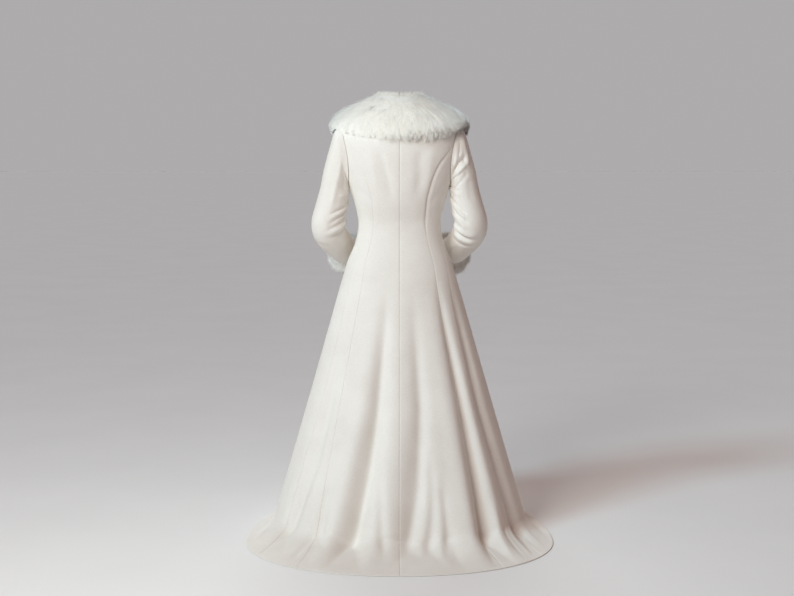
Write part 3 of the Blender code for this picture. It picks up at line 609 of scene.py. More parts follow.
# Sleeves: rings down the left arm as in the solids. Columns: x, y and z of the middle, lean
# of the outer side above level in degrees, half width from the inner to the outer side, half
# depth. Creases are rows as for the coat, with (corner, row) paths: corner 0 is the back, 4
# the outer side, 8 the front and 12 the inner side; rows count the rings, the elbow is at 8.
sleeve = {
    "rings": np.array([
        (0.1998, 0, -0.1735, 75.9, 0.0913, 0.056),
        (0.2065, 0, -0.1965, 67.6, 0.0773, 0.056),
        (0.2133, 0.001, -0.225, 53.7, 0.062, 0.056),
        (0.219, 0.002, -0.2515, 36.2, 0.0533, 0.0555),
        (0.2235, 0.003, -0.2785, 22, 0.05, 0.055),
        (0.23, 0.006, -0.315, 14, 0.051, 0.0545),
        (0.239, 0.01, -0.352, 8, 0.053, 0.0545),
        (0.2465, 0.013, -0.382, 0, 0.055, 0.055),
        (0.2485, 0.01, -0.402, -6, 0.055, 0.056),
        (0.2475, 0, -0.419, -12, 0.0545, 0.0565),
        (0.243, -0.017, -0.434, -18, 0.0535, 0.056),
        (0.236, -0.038, -0.448, -23, 0.0525, 0.055),
        (0.227, -0.062, -0.462, -27, 0.0515, 0.0535),
        (0.212, -0.094, -0.481, -29, 0.05, 0.0515),
        (0.194, -0.13, -0.501, -29, 0.0485, 0.0495),
        (0.176, -0.166, -0.519, -29, 0.0465, 0.0475),
        (0.16, -0.2, -0.535, -29, 0.0455, 0.046),
    ]),
    "ease": 0.0005,             # off the body at the armhole
    "headRun": 0.03,            # metres from the armhole to the first ring
    "underSides": (9, 15),
    "cornerStep": 0.0205,
    "perRing": (12, 5),         # rows to a ring down to below the elbow, and from there
    "fineTo": 11,
    "perCorner": 9,
    "seamDip": 0.3,
    "probe": 0.25,              # rings before and after one that give the way it faces
    "creasesComeIn": (-1.0, 0.2),           # rows over which they do, from the armhole
    "creasesLeft": [
        (8, 3, (15.85, -0.6), (15.75, 2.05), (15.9, 4.4), (16, 6.4)),
        (14, -3, (14.4, 0.6), (14.3, 2.2), (14.5, 4.2)),
        (6, 2.2, (11.4, 3.4), (12, 3.7), (14, 4.4), (15.6, 4.9)),
        (6.2, -4.6, (11.2, 4.4), (12, 4.7), (13.15, 5.45), (14.45, 6), (16.2, 6.65)),
        (5, 4.2, (11, 4.5), (12, 4.95), (13.3, 5.8), (14.45, 6.45), (16.1, 7.2)),
        (5.5, -4.4, (11.6, 5.2), (12.5, 5.65), (13.75, 6.6), (14.8, 7.15), (16.3, 7.55)),
        (4.5, 2.6, (11.6, 5.6), (12.3, 5.95), (13.6, 6.95), (14.6, 7.4), (16, 7.75)),
        (5.5, -4.8, (11, 6.1), (11.95, 6.5), (13.7, 7.45), (14.95, 7.75), (16.5, 8.05)),
        (5.2, 6.6, (11, 7.2), (12.05, 7.45), (13.15, 7.95), (14.5, 8.15), (16.9, 8.4)),
        (5.2, -7.2, (10.6, 9.2), (11.9, 9.2), (13.35, 8.75), (14.6, 8.58), (16.7, 8.72)),
        (3.2, -3, (13, 8.25), (13.5, 8.45), (14, 8.5)),
        (11, 2.6, (11, 12.2), (11.45, 12), (14, 11), (15.5, 11.1)),
        (12, -1.6, (1.2, 0.2), (0.9, 2.6), (0.8, 5)),
        (12, -1.8, (4.6, 0.2), (4.3, 2.6), (3.9, 5.2)),
        (11, -3.8, (5.6, 6.7), (8, 7.8), (10.6, 8.3)),
        (10.5, -3.2, (5.2, 8.5), (7.6, 8.8), (9.4, 9)),
        (9, 3.2, (5.4, 7.6), (7.8, 8.3), (10.4, 8.75)),
        (7, -3.4, (6, 5.6), (8.2, 6.9), (10.4, 7.5)),
        (8.5, -3.4, (6.4, 11.6), (8.2, 10.2), (10.4, 9.8)),
        (10, -2.6, (13.6, 12.6), (11.6, 13.2), (9.4, 14)),
        (10, -2, (1.2, 13.6), (0.2, 12.4), (-1.2, 11.6)),
        (8.5, -2.2, (2.6, 9.6), (1.4, 9.9), (0.2, 9.7)),
    ],
    "creasesRight": [
        (6, 3.4, (1.5, -0.95), (1.25, -0.9), (0.45, -0.55), (-0.5, -0.25), (-1.4, -0.3)),
        (7.5, -4, (2, -0.6), (1.55, -0.4), (0.7, 0), (0, 0.15)),
        (8, 3.6, (2.1, -0.2), (1.9, 0.65), (1.9, 1.55), (1.3, 2.35)),
        (6.6, -9, (1.7, 1.5), (1.25, 1.4), (0.15, 0.75), (-0.95, -0.05), (-1.9, -0.45)),
        (6, 5.2, (2.2, 1.9), (0.65, 1.8), (-0.35, 1.6), (-1.7, 0.7), (-2.4, 0.2)),
        (9, -2.2, (1.2, 2.4), (0.6, 2.7), (-0.8, 3.05), (-2.4, 3.45)),
        (5, -2.6, (-4.2, 1), (-3.35, 1.6), (-1.85, 3.45), (-0.5, 4.4)),
        (5, 2.2, (-4, 2.4), (-3.15, 2.95), (-1.7, 4.2), (-0.3, 4.95)),
        (5.2, -4.2, (-4.2, 3.6), (-3.25, 4.35), (-2.1, 5.2), (-1.25, 6.1), (-0.4, 6.7)),
        (5.4, 3, (-4.2, 4.2), (-3.35, 4.8), (-2.1, 5.75), (-1.3, 6.6), (-0.5, 7.1)),
        (5, -4, (-4.2, 4.8), (-3.25, 5.45), (-2.2, 6.45), (-1.2, 7.2), (-0.2, 7.65)),
        (5.2, 2.6, (-4.6, 5.6), (-3.85, 6.1), (-2.25, 7.1), (-1.1, 7.65), (-0.3, 7.9)),
        (4.8, -2.2, (-4.8, 6.9), (-4, 7.2), (-2.25, 7.85), (-1.3, 8)),
        (5, 5, (-4.2, 8.1), (-3.25, 8.3), (-1.45, 8.42), (-0.2, 8.48), (1.5, 8.36)),
        (4.8, -7.8, (-5.2, 9.5), (-4.4, 9.4), (-2.95, 9), (-1.5, 8.88), (-0.2, 8.92), (2.2, 8.85)),
        (5.5, 3.4, (-3.3, 9.7), (-2.5, 9.55), (-1.05, 9.32), (0.15, 9.25), (1.5, 9.1)),
        (6, -3, (-3, 10.7), (-2.15, 10.45), (-0.8, 10.15), (0.4, 10), (1.6, 9.6)),
        (12, -1.8, (1.2, 3), (0.9, 4.2), (0.8, 5.6)),
        (12, -1.8, (4.8, 0.3), (4.4, 2.6), (4, 5.2)),
        (12.5, -2.8, (5.6, 6.6), (8, 7.7), (10.4, 8.2)),
        (12, -2.4, (5.2, 8.6), (7.6, 8.9), (9.2, 9.2)),
        (11, 2, (5.4, 7.7), (7.8, 8.35), (10.2, 8.8)),
        (7, -3.4, (6, 5.4), (8.2, 6.7), (10.4, 7.3)),
        (8.5, -3.4, (6.4, 11.4), (8.2, 10.3), (10.4, 9.9)),
        (10, -2.6, (13.4, 12.6), (11.4, 13.3), (9.2, 14)),
        (10, -2, (1, 13.4), (0, 12.2), (-1.4, 11.5)),
        (8.5, -2, (2.6, 9.8), (1.4, 10.4), (0.2, 10.9)),
    ],
}


def sleeveRing(row, corner, grow=0.0):
    # ellipse across the arm: middle + outerSide * width * sin + backSide * depth * cos
    rings = sleeve["rings"]
    row, corner = np.broadcast_arrays(np.asarray(row, float), np.asarray(corner, float))
    table = np.column_stack([np.arange(len(rings)), rings])
    probe = sleeve["probe"]
    near = np.minimum(row, len(rings) - 1 - probe)
    here, before, after = (follow(table, at) for at in (row, near - probe, near + probe))
    beyond = np.maximum(row - (len(rings) - 1), 0)[..., None]
    here[..., :3] = here[..., :3] + beyond * (rings[-1, :3] - rings[-2, :3])
    lean = np.radians(here[..., 3])
    across = np.stack([np.cos(lean), np.zeros_like(lean), np.sin(lean)], -1)
    run = after[..., :3] - before[..., :3]
    back = np.cross(across, unit(run - (run * across).sum(-1, keepdims=True) * across))
    turn = 2 * np.pi * corner / cut["armSides"]
    return (here[..., :3] + across * ((here[..., 4] + grow) * np.sin(turn))[..., None]
            + back * ((here[..., 5] + grow) * np.cos(turn))[..., None])


def sleeveForm(row, corner, side):
    # rings joined by cubic pieces along the arm, from the armhole at row -1 to the wrist,
    # then moved by the creases along the normal
    rings, around = sleeve["rings"], cut["armSides"]
    column = corner[0]
    angle, z = armhole(column)
    first = coatForm(side * angle, -z) * [side, 1, 1]
    first[:, 0] += sleeve["ease"]
    knots = np.concatenate([first[None], sleeveRing(np.arange(len(rings))[:, None], column[None, :])])
    table = np.column_stack([np.arange(len(knots)) - 1.0, knots.reshape(len(knots), -1)])
    points = follow(table, row[:, 0]).reshape(len(row), len(column), 3)
    steps = np.linalg.norm(np.diff(rings[:, :3], axis=0), axis=1)
    marks, count = np.concatenate([[-sleeve["headRun"], 0], np.cumsum(steps)]), np.arange(-1, len(rings))
    metres = np.interp(row, count, marks)
    total = sum(pathTrough(lambda c: ((corner - c + around / 2) % around - around / 2) * sleeve["cornerStep"],
                           sleeve["cornerStep"], lambda r: metres - np.interp(r, count, marks), crease)
                for crease in sleeve["creasesLeft" if side > 0 else "creasesRight"])
    total = total * easeIn(row, *sleeve["creasesComeIn"])
    return (points + total[..., None] * gridNormals(points)) * [side, 1, 1]


fine, coarse = (1 / count for count in sleeve["perRing"])
sleeveRows = np.concatenate([
    [-1, -0.985, -0.95, -0.9, -0.82], np.arange(-0.72, sleeve["fineTo"], fine),
    np.arange(sleeve["fineTo"], 15.85, coarse), [15.88, 15.93, 15.965, 15.987, 16],
])
for label, side in sides:
    low, high = sleeve["underSides"]
    for name, start, end in (("sleeveUnder", low, high), ("sleeveUpper", high, low + cut["armSides"])):
        steps = (cloth["edgeSteps"] + cloth["seamGap"] / 2) / sleeve["cornerStep"]
        count = (end - start) * sleeve["perCorner"] + 1
        inside = np.linspace(start + steps[-1], end - steps[-1], count)[1:-1]
        columns = np.concatenate([start + steps, inside, (end - steps)[::-1]])
        rows, corners = np.meshgrid(sleeveRows, columns, indexing="ij")
        grid = sleeveForm(rows, corners, side)
        dip = np.zeros(rows.shape)
        dip[:, :edgeCount] = edgeRoll * sleeve["seamDip"]
        dip[:, -edgeCount:] = edgeRoll[::-1] * sleeve["seamDip"]
        dip[:edgeCount] = np.maximum(dip[:edgeCount], edgeRoll[:, None] * cut["armDip"][label])
        dip[-edgeCount:] = np.maximum(dip[-edgeCount:], edgeRoll[::-1][:, None])
        if side > 0:
            grid, dip = grid[:, ::-1], dip[:, ::-1]
        clothPiece(name + label, grid, dip)
print("sleeves set in")

# Fur: a hide below and tapered strands on it. The strands' colour runs from a darker root to
# a pale tip, partly the hair's own and partly painted shade deep in the pile, since most strands
# cast no shadow; warmer in the middle of the back and cooler towards the edges.
furLook = {
    # root: darker, partly the hair's own colour and partly painted shade deep in the pile
    "root": (0.66, 0.64, 0.605),
    "middle": (0.8, 0.785, 0.765),
    "tip": (0.885, 0.875, 0.865),
    "middleAt": 0.45,               # where the middle's colour lies from root to tip
    "warm": (1.0, 0.96, 0.895),
    "cool": (1.0, 0.975, 0.935),
    "grey": (0.8, 0.772, 0.725),    # the odd darker hairs
    "plain": 0.4,                   # tone of a hair that is neither
    "mixed": 0.22,                  # spread of the tone from hair to hair
    "roughness": 0.62,
    "sheen": 0.7,
    "sheenRoughness": 0.45,
    "specular": 0.3,
    "underWool": (0.78, 0.765, 0.74),
    "streaks": (1100.0, 75.0),      # of the hide's under-wool per metre, across and along it
    "locks": (260.0, 32.0),
    "streakShare": 0.55,            # the locks have the rest
    "hideNoise": (3.0, 0.6, 0.8),   # detail, roughness and distortion of both
    "hideStops": (0.32, 0.62),      # where under-wool and tip lie in the pattern
    "hideRoughness": 0.9,
    "hideBump": 0.6,
    "hideBumpDepth": 0.0015,
}

# How every strand is made
strand = {
    "thick": 0.00052,               # half width at the root, in metres
    "taper": 0.72,                  # share of it left at the bend
    "bendTone": 0.55,               # where the bend lies in the colours from root to tip
    "widthSpread": 0.2,
    "widthLimits": (0.6, 1.5),
    "frizzyWidth": 0.62,            # share of its width that a frizzy hair has
    "gatherSpread": 0.35,           # how unevenly hairs are drawn to their tuft
    "gatherLimit": 1.4,
    "ownTurn": (0.35, 0.25),        # share of its own sides and run in a strand's shading
    "rimHeight": 0.15,              # height of a hide at its rims, as a share of its middle
    "rimPower": 0.35,
}


def furMaterial(name, look):
    # colour = ramp(along the strand) * tint(tone), both from the mesh's own attributes; the ramp's darker
    # root is partly the hair's own colour and partly painted shade within the pile
    material, tree, shader = newMaterial(name)
    along, tone = (node(tree, "ShaderNodeAttribute", attribute_name=label).outputs["Fac"]
                   for label in ("along", "tone"))
    length = ramp(tree, along, [(0.0, look["root"]), (look["middleAt"], look["middle"]), (1.0, look["tip"])])
    tint = ramp(tree, tone, [(0.0, look["grey"]), (look["plain"], look["cool"]), (1.0, look["warm"])])
    mixed = node(tree, "ShaderNodeMix", {0: 1.0, 6: length, 7: tint}, data_type="RGBA", blend_type="MULTIPLY")
    feed(shader, {"Base Color": mixed.outputs[2], "Roughness": look["roughness"],
                  "Sheen Weight": look["sheen"], "Sheen Roughness": look["sheenRoughness"],
                  "Specular IOR Level": look["specular"]})
    return material


def hideMaterial(name, look):
    # the hide under the long hair: fine streaks and broader locks that run with the hair, from
    # two stretched noises on the hide's UV map, in colour and relief
    material, tree, shader = newMaterial(name)
    place = node(tree, "ShaderNodeTexCoord").outputs["UV"]
    fields = []
    for label in ("streaks", "locks"):
        stretch = node(tree, "ShaderNodeMapping", {"Vector": place, "Scale": (*look[label], 1.0)})
        fields.append(noise(tree, stretch.outputs["Vector"], 1.0, *look["hideNoise"]))
    mixed = mixOf(tree, *fields, look["streakShare"])
    tones = ramp(tree, mixed, list(zip(look["hideStops"], (look["underWool"], look["tip"]))))
    bump = node(tree, "ShaderNodeBump", {"Strength": look["hideBump"], "Distance": look["hideBumpDepth"],
                                         "Height": mixed})
    feed(shader, {"Base Color": tones, "Normal": bump.outputs["Normal"], "Roughness": look["hideRoughness"]})
    return material


furStrand = furMaterial("furStrand", furLook)
furHide = hideMaterial("furHide", furLook)


def gridAt(grid, u, v):
    # bilinear value of a grid at shares u down its rows and v along its columns
    rows, columns = grid.shape[:2]
    x, y = np.clip(u, 0, 1) * (rows - 1), np.clip(v, 0, 1) * (columns - 1)
    i, j = np.minimum(x.astype(int), rows - 2), np.minimum(y.astype(int), columns - 2)
    p, q = (x - i)[:, None], (y - j)[:, None]
    return ((1 - p) * (1 - q) * grid[i, j] + p * (1 - q) * grid[i + 1, j]
            + (1 - p) * q * grid[i, j + 1] + p * q * grid[i + 1, j + 1])


def scatter(grid, count, dice):
    # random shares (u, v) spread evenly over a grid's area
    area = np.linalg.norm(np.cross(grid[1:, :-1] - grid[:-1, :-1], grid[:-1, 1:] - grid[:-1, :-1]), axis=-1)
    rows, columns = area.shape
    cell = dice.choice(area.size, count, p=area.ravel() / area.sum())
    return (cell // columns + dice.random(count)) / rows, (cell % columns + dice.random(count)) / columns


def gathered(gather, count, dice):
    # how far each hair is drawn to its tuft's middle
    return gather * np.clip(dice.normal(1.0, strand["gatherSpread"], count), 0, strand["gatherLimit"])


def bentAt(root, tip, rise, lift, spread, dice):
    # half way from root to tip, lifted off the pelt and a little off to any side
    length = np.linalg.norm(tip - root, axis=1, keepdims=True)
    return root + (tip - root) * 0.5 + rise * length * lift + dice.normal(0, spread, root.shape)


def widthOf(frizzy, dice):
    # half width of each hair at its root
    uneven = np.clip(dice.normal(1, strand["widthSpread"], len(frizzy)), *strand["widthLimits"])
    return strand["thick"] * np.where(frizzy, strand["frizzyWidth"], 1.0) * uneven


def hideHeightAt(share):
    # height of a hide across its width: a steep sine from the rims to the middle
    return strand["rimHeight"] + (1 - strand["rimHeight"]) * np.sin(np.pi * share) ** strand["rimPower"]


def strandPiece(name, root, bend, tip, thick, tone, pelt, solid, shades):
    # three-sided strands, one flat side up: a ring at the root, a thinner one at the bend, and
    # a point. They shade with the pelt's own normal, a little spread, as a soft pile does
    run = unit(tip - root, 1e-9)
    aside = np.array([0.02, 0.03, 0.01])        # so that no hair runs along the pelt's normal
    side = unit(np.cross(run, pelt + aside), 1e-9)
    turn = np.radians([30.0, 150.0, 270.0])[None, :, None]
    rim = np.cos(turn) * side[:, None] + np.sin(turn) * np.cross(side, run)[:, None]
    thick = thick[:, None, None]
    points = np.concatenate([root[:, None] + rim * thick, bend[:, None] + rim * thick * strand["taper"],
                             tip[:, None]], axis=1).reshape(-1, 3)
    one = np.array([(0, 1, 4), (0, 4, 3), (1, 2, 5), (1, 5, 4), (2, 0, 3), (2, 3, 5),
                    (3, 4, 6), (4, 5, 6), (5, 3, 6), (2, 1, 0)])
    faces = (np.arange(len(root))[:, None, None] * 7 + one[None]).reshape(-1, 3)
    # along runs from 0 at the root to 1 at the tip; the material darkens the root with it, partly as painted
    # shade within the pile
    along = np.tile([0.0] * 3 + [strand["bendTone"]] * 3 + [1.0], len(root))
    piece = meshFrom(name, points, faces, furStrand,
                     values={"along": along, "tone": np.repeat(np.clip(tone, 0, 1), 7)})
    sideways, onwards = strand["ownTurn"]
    spread = np.concatenate([rim * sideways, rim * sideways, run[:, None] * onwards], axis=1).reshape(-1, 3)
    piece.data.normals_split_custom_set_from_vertices(unit(np.repeat(pelt, 7, axis=0) + spread).tolist())
    # the shade within the pile is painted into the strands' darker roots instead of cast
    piece.visible_shadow = shades       # white hair lets light through; the hide below it shades
    return standFor(piece, solid)


def furShell(name, outer, inner, uv, solid, closedRound=False):
    # a hide between two grids; its UV map is in metres along and across the hair
    piece = meshFrom(name, np.concatenate([outer.reshape(-1, 3), inner.reshape(-1, 3)]),
                     shellFaces(*outer.shape[:2], closedRound), furHide, np.tile(uv.reshape(-1, 2), (2, 1)))
    return standFor(piece, solid)


# Collar. The yoke is the form under it, columns as for the coat's sections. Stations run
# from the centre back round to the front end: degrees and height of the edge at the neck,
# degrees and height of the outer edge, plumpness, rise of the fur at the neck.
collar = {
    "yoke": np.array([
        (0.05, 0.07, 0.057, -0.052, 0, 2),
        (0, 0.0735, 0.0595, -0.0535, 0, 2),
        (-0.02, 0.115, 0.07, -0.061, 0, 2.1),
        (-0.045, 0.177, 0.082, -0.072, 0, 2.2),
        (-0.06, 0.208, 0.088, -0.078, 0, 2.3),
        (-0.085, 0.23, 0.097, -0.089, 0, 2.3),
        (-0.11, 0.24, 0.104, -0.099, 0, 2.3),
        (-0.158, 0.244, 0.114, -0.118, 0, 2.3),
        (-0.215, 0.225, 0.119, -0.137, 0, 2.3),
        (-0.256, 0.195, 0.119, -0.144, 0, 2.3),
        (-0.33, 0.17, 0.107, -0.134, 0, 2.2),
        (-0.4, 0.155, 0.093, -0.118, 0, 2.2),
    ]),
    "stations": np.array([
        (0, 0.042, 0, -0.118, 0.044, 1.2),
        (24, 0.043, 19, -0.112, 0.045, 1.2),
        (50, 0.043, 41, -0.098, 0.047, 1.35),
        (72, 0.042, 63, -0.084, 0.046, 1.6),
        (90, 0.037, 84, -0.08, 0.042, 1.7),
        (105, 0.026, 103, -0.092, 0.041, 1.5),
        (119, 0.009, 120, -0.119, 0.041, 1),
        (140.5, -0.014, 134, -0.152, 0.041, 0.55),
        (157, -0.04, 144, -0.184, 0.039, 0.3),
        (165.5, -0.068, 151, -0.212, 0.036, 0.15),
        (170.5, -0.12, 159, -0.246, 0.033, 0.05),
        (174.5, -0.19, 167, -0.285, 0.027, 0),
        (178.3, -0.262, 174, -0.32, 0.016, 0),
    ]),
    "seed": 11,
    "formGrid": (289, 61),      # points along and across that the tips are read from
    "hideGrid": (145, 27),
    "neckRoll": (-0.03, -0.015, 0.0, 0.015, 0.03),
    "rollReach": (0.75, 0.35),
    "riseFade": 1.5,
    "edgePlump": 0.16,
    "cornerDrop": 0.22,
    "cornerAt": (0.29, 0.11),   # where along the collar the neck's corners are, and how broad
    "cornerReach": 0.3,         # and how far they reach outwards
    "edgeRounding": 3.2,
    "hideShare": 0.84,          # height of the hide as a share of the fur's
    "hideThick": 0.012,
    "hideClear": 0.0006,        # off the cloth below, at the least
    "hideInset": 0.012,         # how far the hide stops short of the fur's edges
    "hideEnd": 0.965,           # and at the front ends, as a share of the way round
    "strands": 40000,
    "parts": 3,
    "edgeMore": 0.2,            # share of the hairs set along the outer edge, where they lie thick
    "edgeBand": 0.14,           # width of that edge as a share of the collar's
    "edgeDeep": 0.5,            # share of the edge's hairs that fill it down to the cloth,
    "deepFrom": 0.84,           # where they begin,
    "deepReach": (0.15, 0.95),  # and how high they stand, as a share of the others
    "tuft": (110, 9),           # tufts along and across
    "tuftLimit": 1.6,           # how far a tuft strays at most, in standard deviations
    "lean": 0.03,               # how far tips lie away from the neck
    "leanFrom": (0.0, 0.3),     # shares of the width over which they come to it
    "leanSpread": 0.22,
    "tipSpread": (0.005, 0.03),         # of single hairs along and across
    "tuftSpread": (0.25, 0.02),         # and of whole tufts
    "parting": (0.003, 0.03),   # how far tips part at the centre back, and how wide it is
    "swirls": ((0.005, 31.0, 5.0, 0.0), (0.004, 71.0, -9.0, 1.3)),     # reach, waves, slant, start
    "gather": (0.12, 0.42),     # how far a tuft draws together at the tip, inside and at the edge
    "gatherRise": (0.66, 0.95),
    "overhangFrom": 0.9,
    "overhang": 0.42,           # how much of the tips' reach past there is kept
    "overhangLimit": 0.2,       # of the width, past the outer edge
    "lockReach": 0.013,         # how unevenly the locks and their hairs end at the outer edge
    "hairReach": 0.02,
    "reachFrom": (0.7, 0.95),   # where that comes in
    "reach": 0.955,             # tips as a share of the solid's height
    "reachSpread": (0.02, 0.025),       # from tuft to tuft and from hair to hair
    "frizz": 0.16,              # share of the hairs that stand out
    "frizzReach": (0.06, 0.3),
    "edgeProbe": 0.92,          # the way over the outer edge is taken from here to it
    "edgeFace": 0.9,            # how far the pile at the edges faces the way it stands off,
    "edgeFaceFrom": (0.3, 0.9),         # and where it turns to it, from middle to edge
    "alongProbe": 0.004,        # share of the collar's run that gives the way along it
    "tuftRound": 0.17,          # how round each tuft looks across
    "tuftTurn": 0.08,           # and how unevenly the tufts face
    "bend": (0.1, 0.0009),      # lift of a hair's bend as a share of its length, and its spread
    "warmWidth": 0.085,         # metres to both sides of the centre back
    "warmMost": 0.45,           # share of the collar's width where it is warmest,
    "warmFade": 0.5,            # and how fast that fades from there
    "tuftTone": 0.14,
    "fringeFrom": 0.8,          # of the strands rooted past here, some shade the cloth below
    "fringeAcross": (-0.03, 0.09),
    "fringeShades": (0.24, 0.0),        # their share on the right and middle, and on the left
    "frontShades": 0.22,        # and on both sides in front
}


def cornerLevel(s, t):
    # share of the height left at the neck's two corners, where the fur turns over softly
    at, broad = collar["cornerAt"]
    near = np.exp(-(((np.abs(s) - at) / broad) ** 2)) * np.exp(-((t / collar["cornerReach"]) ** 2))
    return 1 - collar["cornerDrop"] * near


def collarForm(s, t):
    # the form under the collar, the way the fur stands off it, and how far: blends of the
    # station's two edges, s from -1 to 1 along the collar and t from the neck outwards
    stations = collar["stations"]
    table = np.column_stack([np.linspace(0, 1, len(stations)), stations])
    innerDegree, innerZ, outerDegree, outerZ, plump, rise = np.moveaxis(follow(table, np.abs(s)), -1, 0)
    angle = np.where(s < 0, -1, 1) * (innerDegree * (1 - t) + outerDegree * t)
    z = innerZ * (1 - t) + outerZ * t

    def form(turn, fall):
        # the yoke at a depth below the nape
        return levelRing(collar["yoke"], turn, -fall)

    def rolled(turn, fall):
        # the same, softened: the mean of the yoke at a few depths round this one
        return sum(form(turn, fall + step) for step in collar["neckRoll"]) / len(collar["neckRoll"])

    under = form(angle, -z)
    roll = easeIn(t, *collar["rollReach"])[..., None]
    away = outward(rolled, angle, -z) * roll + outward(form, angle, -z) * (1 - roll)
    away[..., 2] += rise * (1 - t) ** collar["riseFade"]
    rounded = (1 - np.abs(2 * t - 1) ** collar["edgeRounding"]) ** 0.5
    height = plump * (collar["edgePlump"] + (1 - collar["edgePlump"]) * rounded) * cornerLevel(s, t)
    return under, under + (rolled(angle, -z) - under) * roll, unit(away), height


dice = np.random.default_rng(collar["seed"])
alongCount, overCount = collar["formGrid"]
along, over = np.meshgrid(np.linspace(-1, 1, alongCount), np.linspace(0, 1, overCount), indexing="ij")
under, base, away, height = collarForm(along, over)
acrossLength = arcLengths(under, 1)[:, -1]
topGrid = base + height[..., None] * away

alongCount, overCount = collar["hideGrid"]
hideAlong = np.linspace(-collar["hideEnd"], collar["hideEnd"], alongCount)
hideShare = np.linspace(0, 1, overCount)
inset = collar["hideInset"] / np.interp(hideAlong, along[:, 0], acrossLength)[:, None]
hideOver = inset + (1 - 2 * inset) * hideShare
hideUnder, hideBase, hideAway, hideHeight = collarForm(
    np.broadcast_to(hideAlong[:, None], hideOver.shape), hideOver)
hideTop = hideBase + (collar["hideShare"] * hideHeight * hideHeightAt(hideShare))[..., None] * hideAway
hideLift = np.linalg.norm(hideTop - hideUnder, axis=-1, keepdims=True)
hideThick = np.minimum(hideLift - collar["hideClear"], collar["hideThick"])
hideBottom = hideTop - hideThick * (hideTop - hideUnder) / hideLift
hideNormal = facing(gridNormals(hideTop), hideAway)
hide = furShell("collarHide", hideTop, hideBottom,
                np.stack([arcLengths(hideTop, 0), arcLengths(hideTop, 1)], -1), "fur_collar")

# roots, and the tuft that each strand belongs to: a brick pattern whose tufts stray a little
count = collar["strands"]
u, v = scatter(hideTop, count, dice)
v = np.where(dice.random(count) < collar["edgeMore"], 1 - collar["edgeBand"] * dice.random(count), v)
columns, rows = collar["tuft"]
row = np.minimum((v * rows).astype(int), rows - 1)
shift = 0.5 * (row % 2)
column = np.clip((u * columns + shift).astype(int), 0, columns)
tuft, tuftU, tuftV = row * (columns + 1) + column, (column + 0.5 - shift) / columns, (row + 0.5) / rows
limit = collar["tuftLimit"]
jitter = np.clip(dice.normal(0, 1, ((columns + 1) * rows, 4)), -limit, limit)[tuft]

# where the tips lie: s along the collar, v across it, drawn towards their tuft's own tip
s = (2 * u - 1) * collar["hideEnd"]
width = np.interp(s, along[:, 0], acrossLength)
lean = collar["lean"] / width * easeIn(v, *collar["leanFrom"]) * (1 + collar["leanSpread"] * jitter[:, 1])
parting = collar["parting"][0] * np.sign(s) * np.exp(-(s / collar["parting"][1]) ** 2)
swirl = sum(reach * np.sin(waves * s + slant * v + start) for reach, waves, slant, start in collar["swirls"])
tipV = v + lean + dice.normal(0, collar["tipSpread"][1], count)
tuftTipV = tuftV + lean + collar["tuftSpread"][1] * jitter[:, 2]
tipS = s / collar["hideEnd"] + dice.normal(0, collar["tipSpread"][0], count) + parting + swirl
tuftTipS = 2 * (tuftU + collar["tuftSpread"][0] * jitter[:, 0] / columns) - 1 + parting + swirl
gather = collar["gather"][0] + (collar["gather"][1] - collar["gather"][0]) * easeIn(v, *collar["gatherRise"])
gather = gathered(gather, count, dice)
tipV, tipS = tipV + (tuftTipV - tipV) * gather, tipS + (tuftTipS - tipS) * gather
past = tipV - collar["overhangFrom"]
tipV = np.where(past > 0, collar["overhangFrom"] + past * collar["overhang"], tipV)
tipV = tipV + (collar["lockReach"] * jitter[:, 2]
               + collar["hairReach"] * dice.normal(0, 1, count)) * easeIn(v, *collar["reachFrom"])

# how high they stand, as a share of the solid's pile
tuftSpread, hairSpread = collar["reachSpread"]
share = collar["reach"] + tuftSpread * jitter[:, 3] + dice.normal(0, hairSpread, count)
frizzy = dice.random(count) < collar["frizz"]
share = np.where(frizzy, share + dice.uniform(*collar["frizzReach"], count), share)
deep = (v > collar["deepFrom"]) & (dice.random(count) < collar["edgeDeep"])
share = np.where(deep, share * dice.uniform(*collar["deepReach"], count), share)
root, rise = gridAt(hideTop, u, v), gridAt(hideAway, u, v)
tipU = np.clip((tipS + 1) / 2, 0, 1)
foot = gridAt(base, tipU, tipV)
tip = foot + (gridAt(topGrid, tipU, tipV) - foot) * share[:, None]
edgeRun = unit(gridAt(base, tipU, np.ones(count)) - gridAt(base, tipU, np.full(count, collar["edgeProbe"])))
tip = tip + edgeRun * (np.clip(tipV - 1, 0, collar["overhangLimit"]) * width)[:, None]
bend = bentAt(root, tip, rise, *collar["bend"], dice)

# the pelt's normal faces out over both edges, and rounds each tuft across its run
pelt = gridAt(hideNormal, u, v)
faced = collar["edgeFace"] * easeIn(np.abs(2 * v - 1), *collar["edgeFaceFrom"])
pelt = pelt + (rise - pelt) * faced[:, None]
step = collar["alongProbe"]
sideways = unit(gridAt(hideTop, u + step, v) - gridAt(hideTop, u - step, v))
inTuft = np.clip((u - tuftU) * columns * 2, -1, 1)
pelt = pelt + sideways * (collar["tuftRound"] * inTuft + collar["tuftTurn"] * jitter[:, 0])[:, None]
pelt = unit(pelt + np.array([0.0, 0.0, 1.0]) * (collar["tuftTurn"] * jitter[:, 2])[:, None])
fade = np.clip(1 - collar["warmFade"] * np.abs(v - collar["warmMost"]), 0, 1)
warmth = np.exp(-(root[:, 0] / collar["warmWidth"]) ** 2) * fade
tone = (furLook["plain"] + (1 - furLook["plain"]) * warmth + collar["tuftTone"] * jitter[:, 1]
        + furLook["mixed"] * dice.normal(0, 1, count))
thick = widthOf(frizzy, dice)

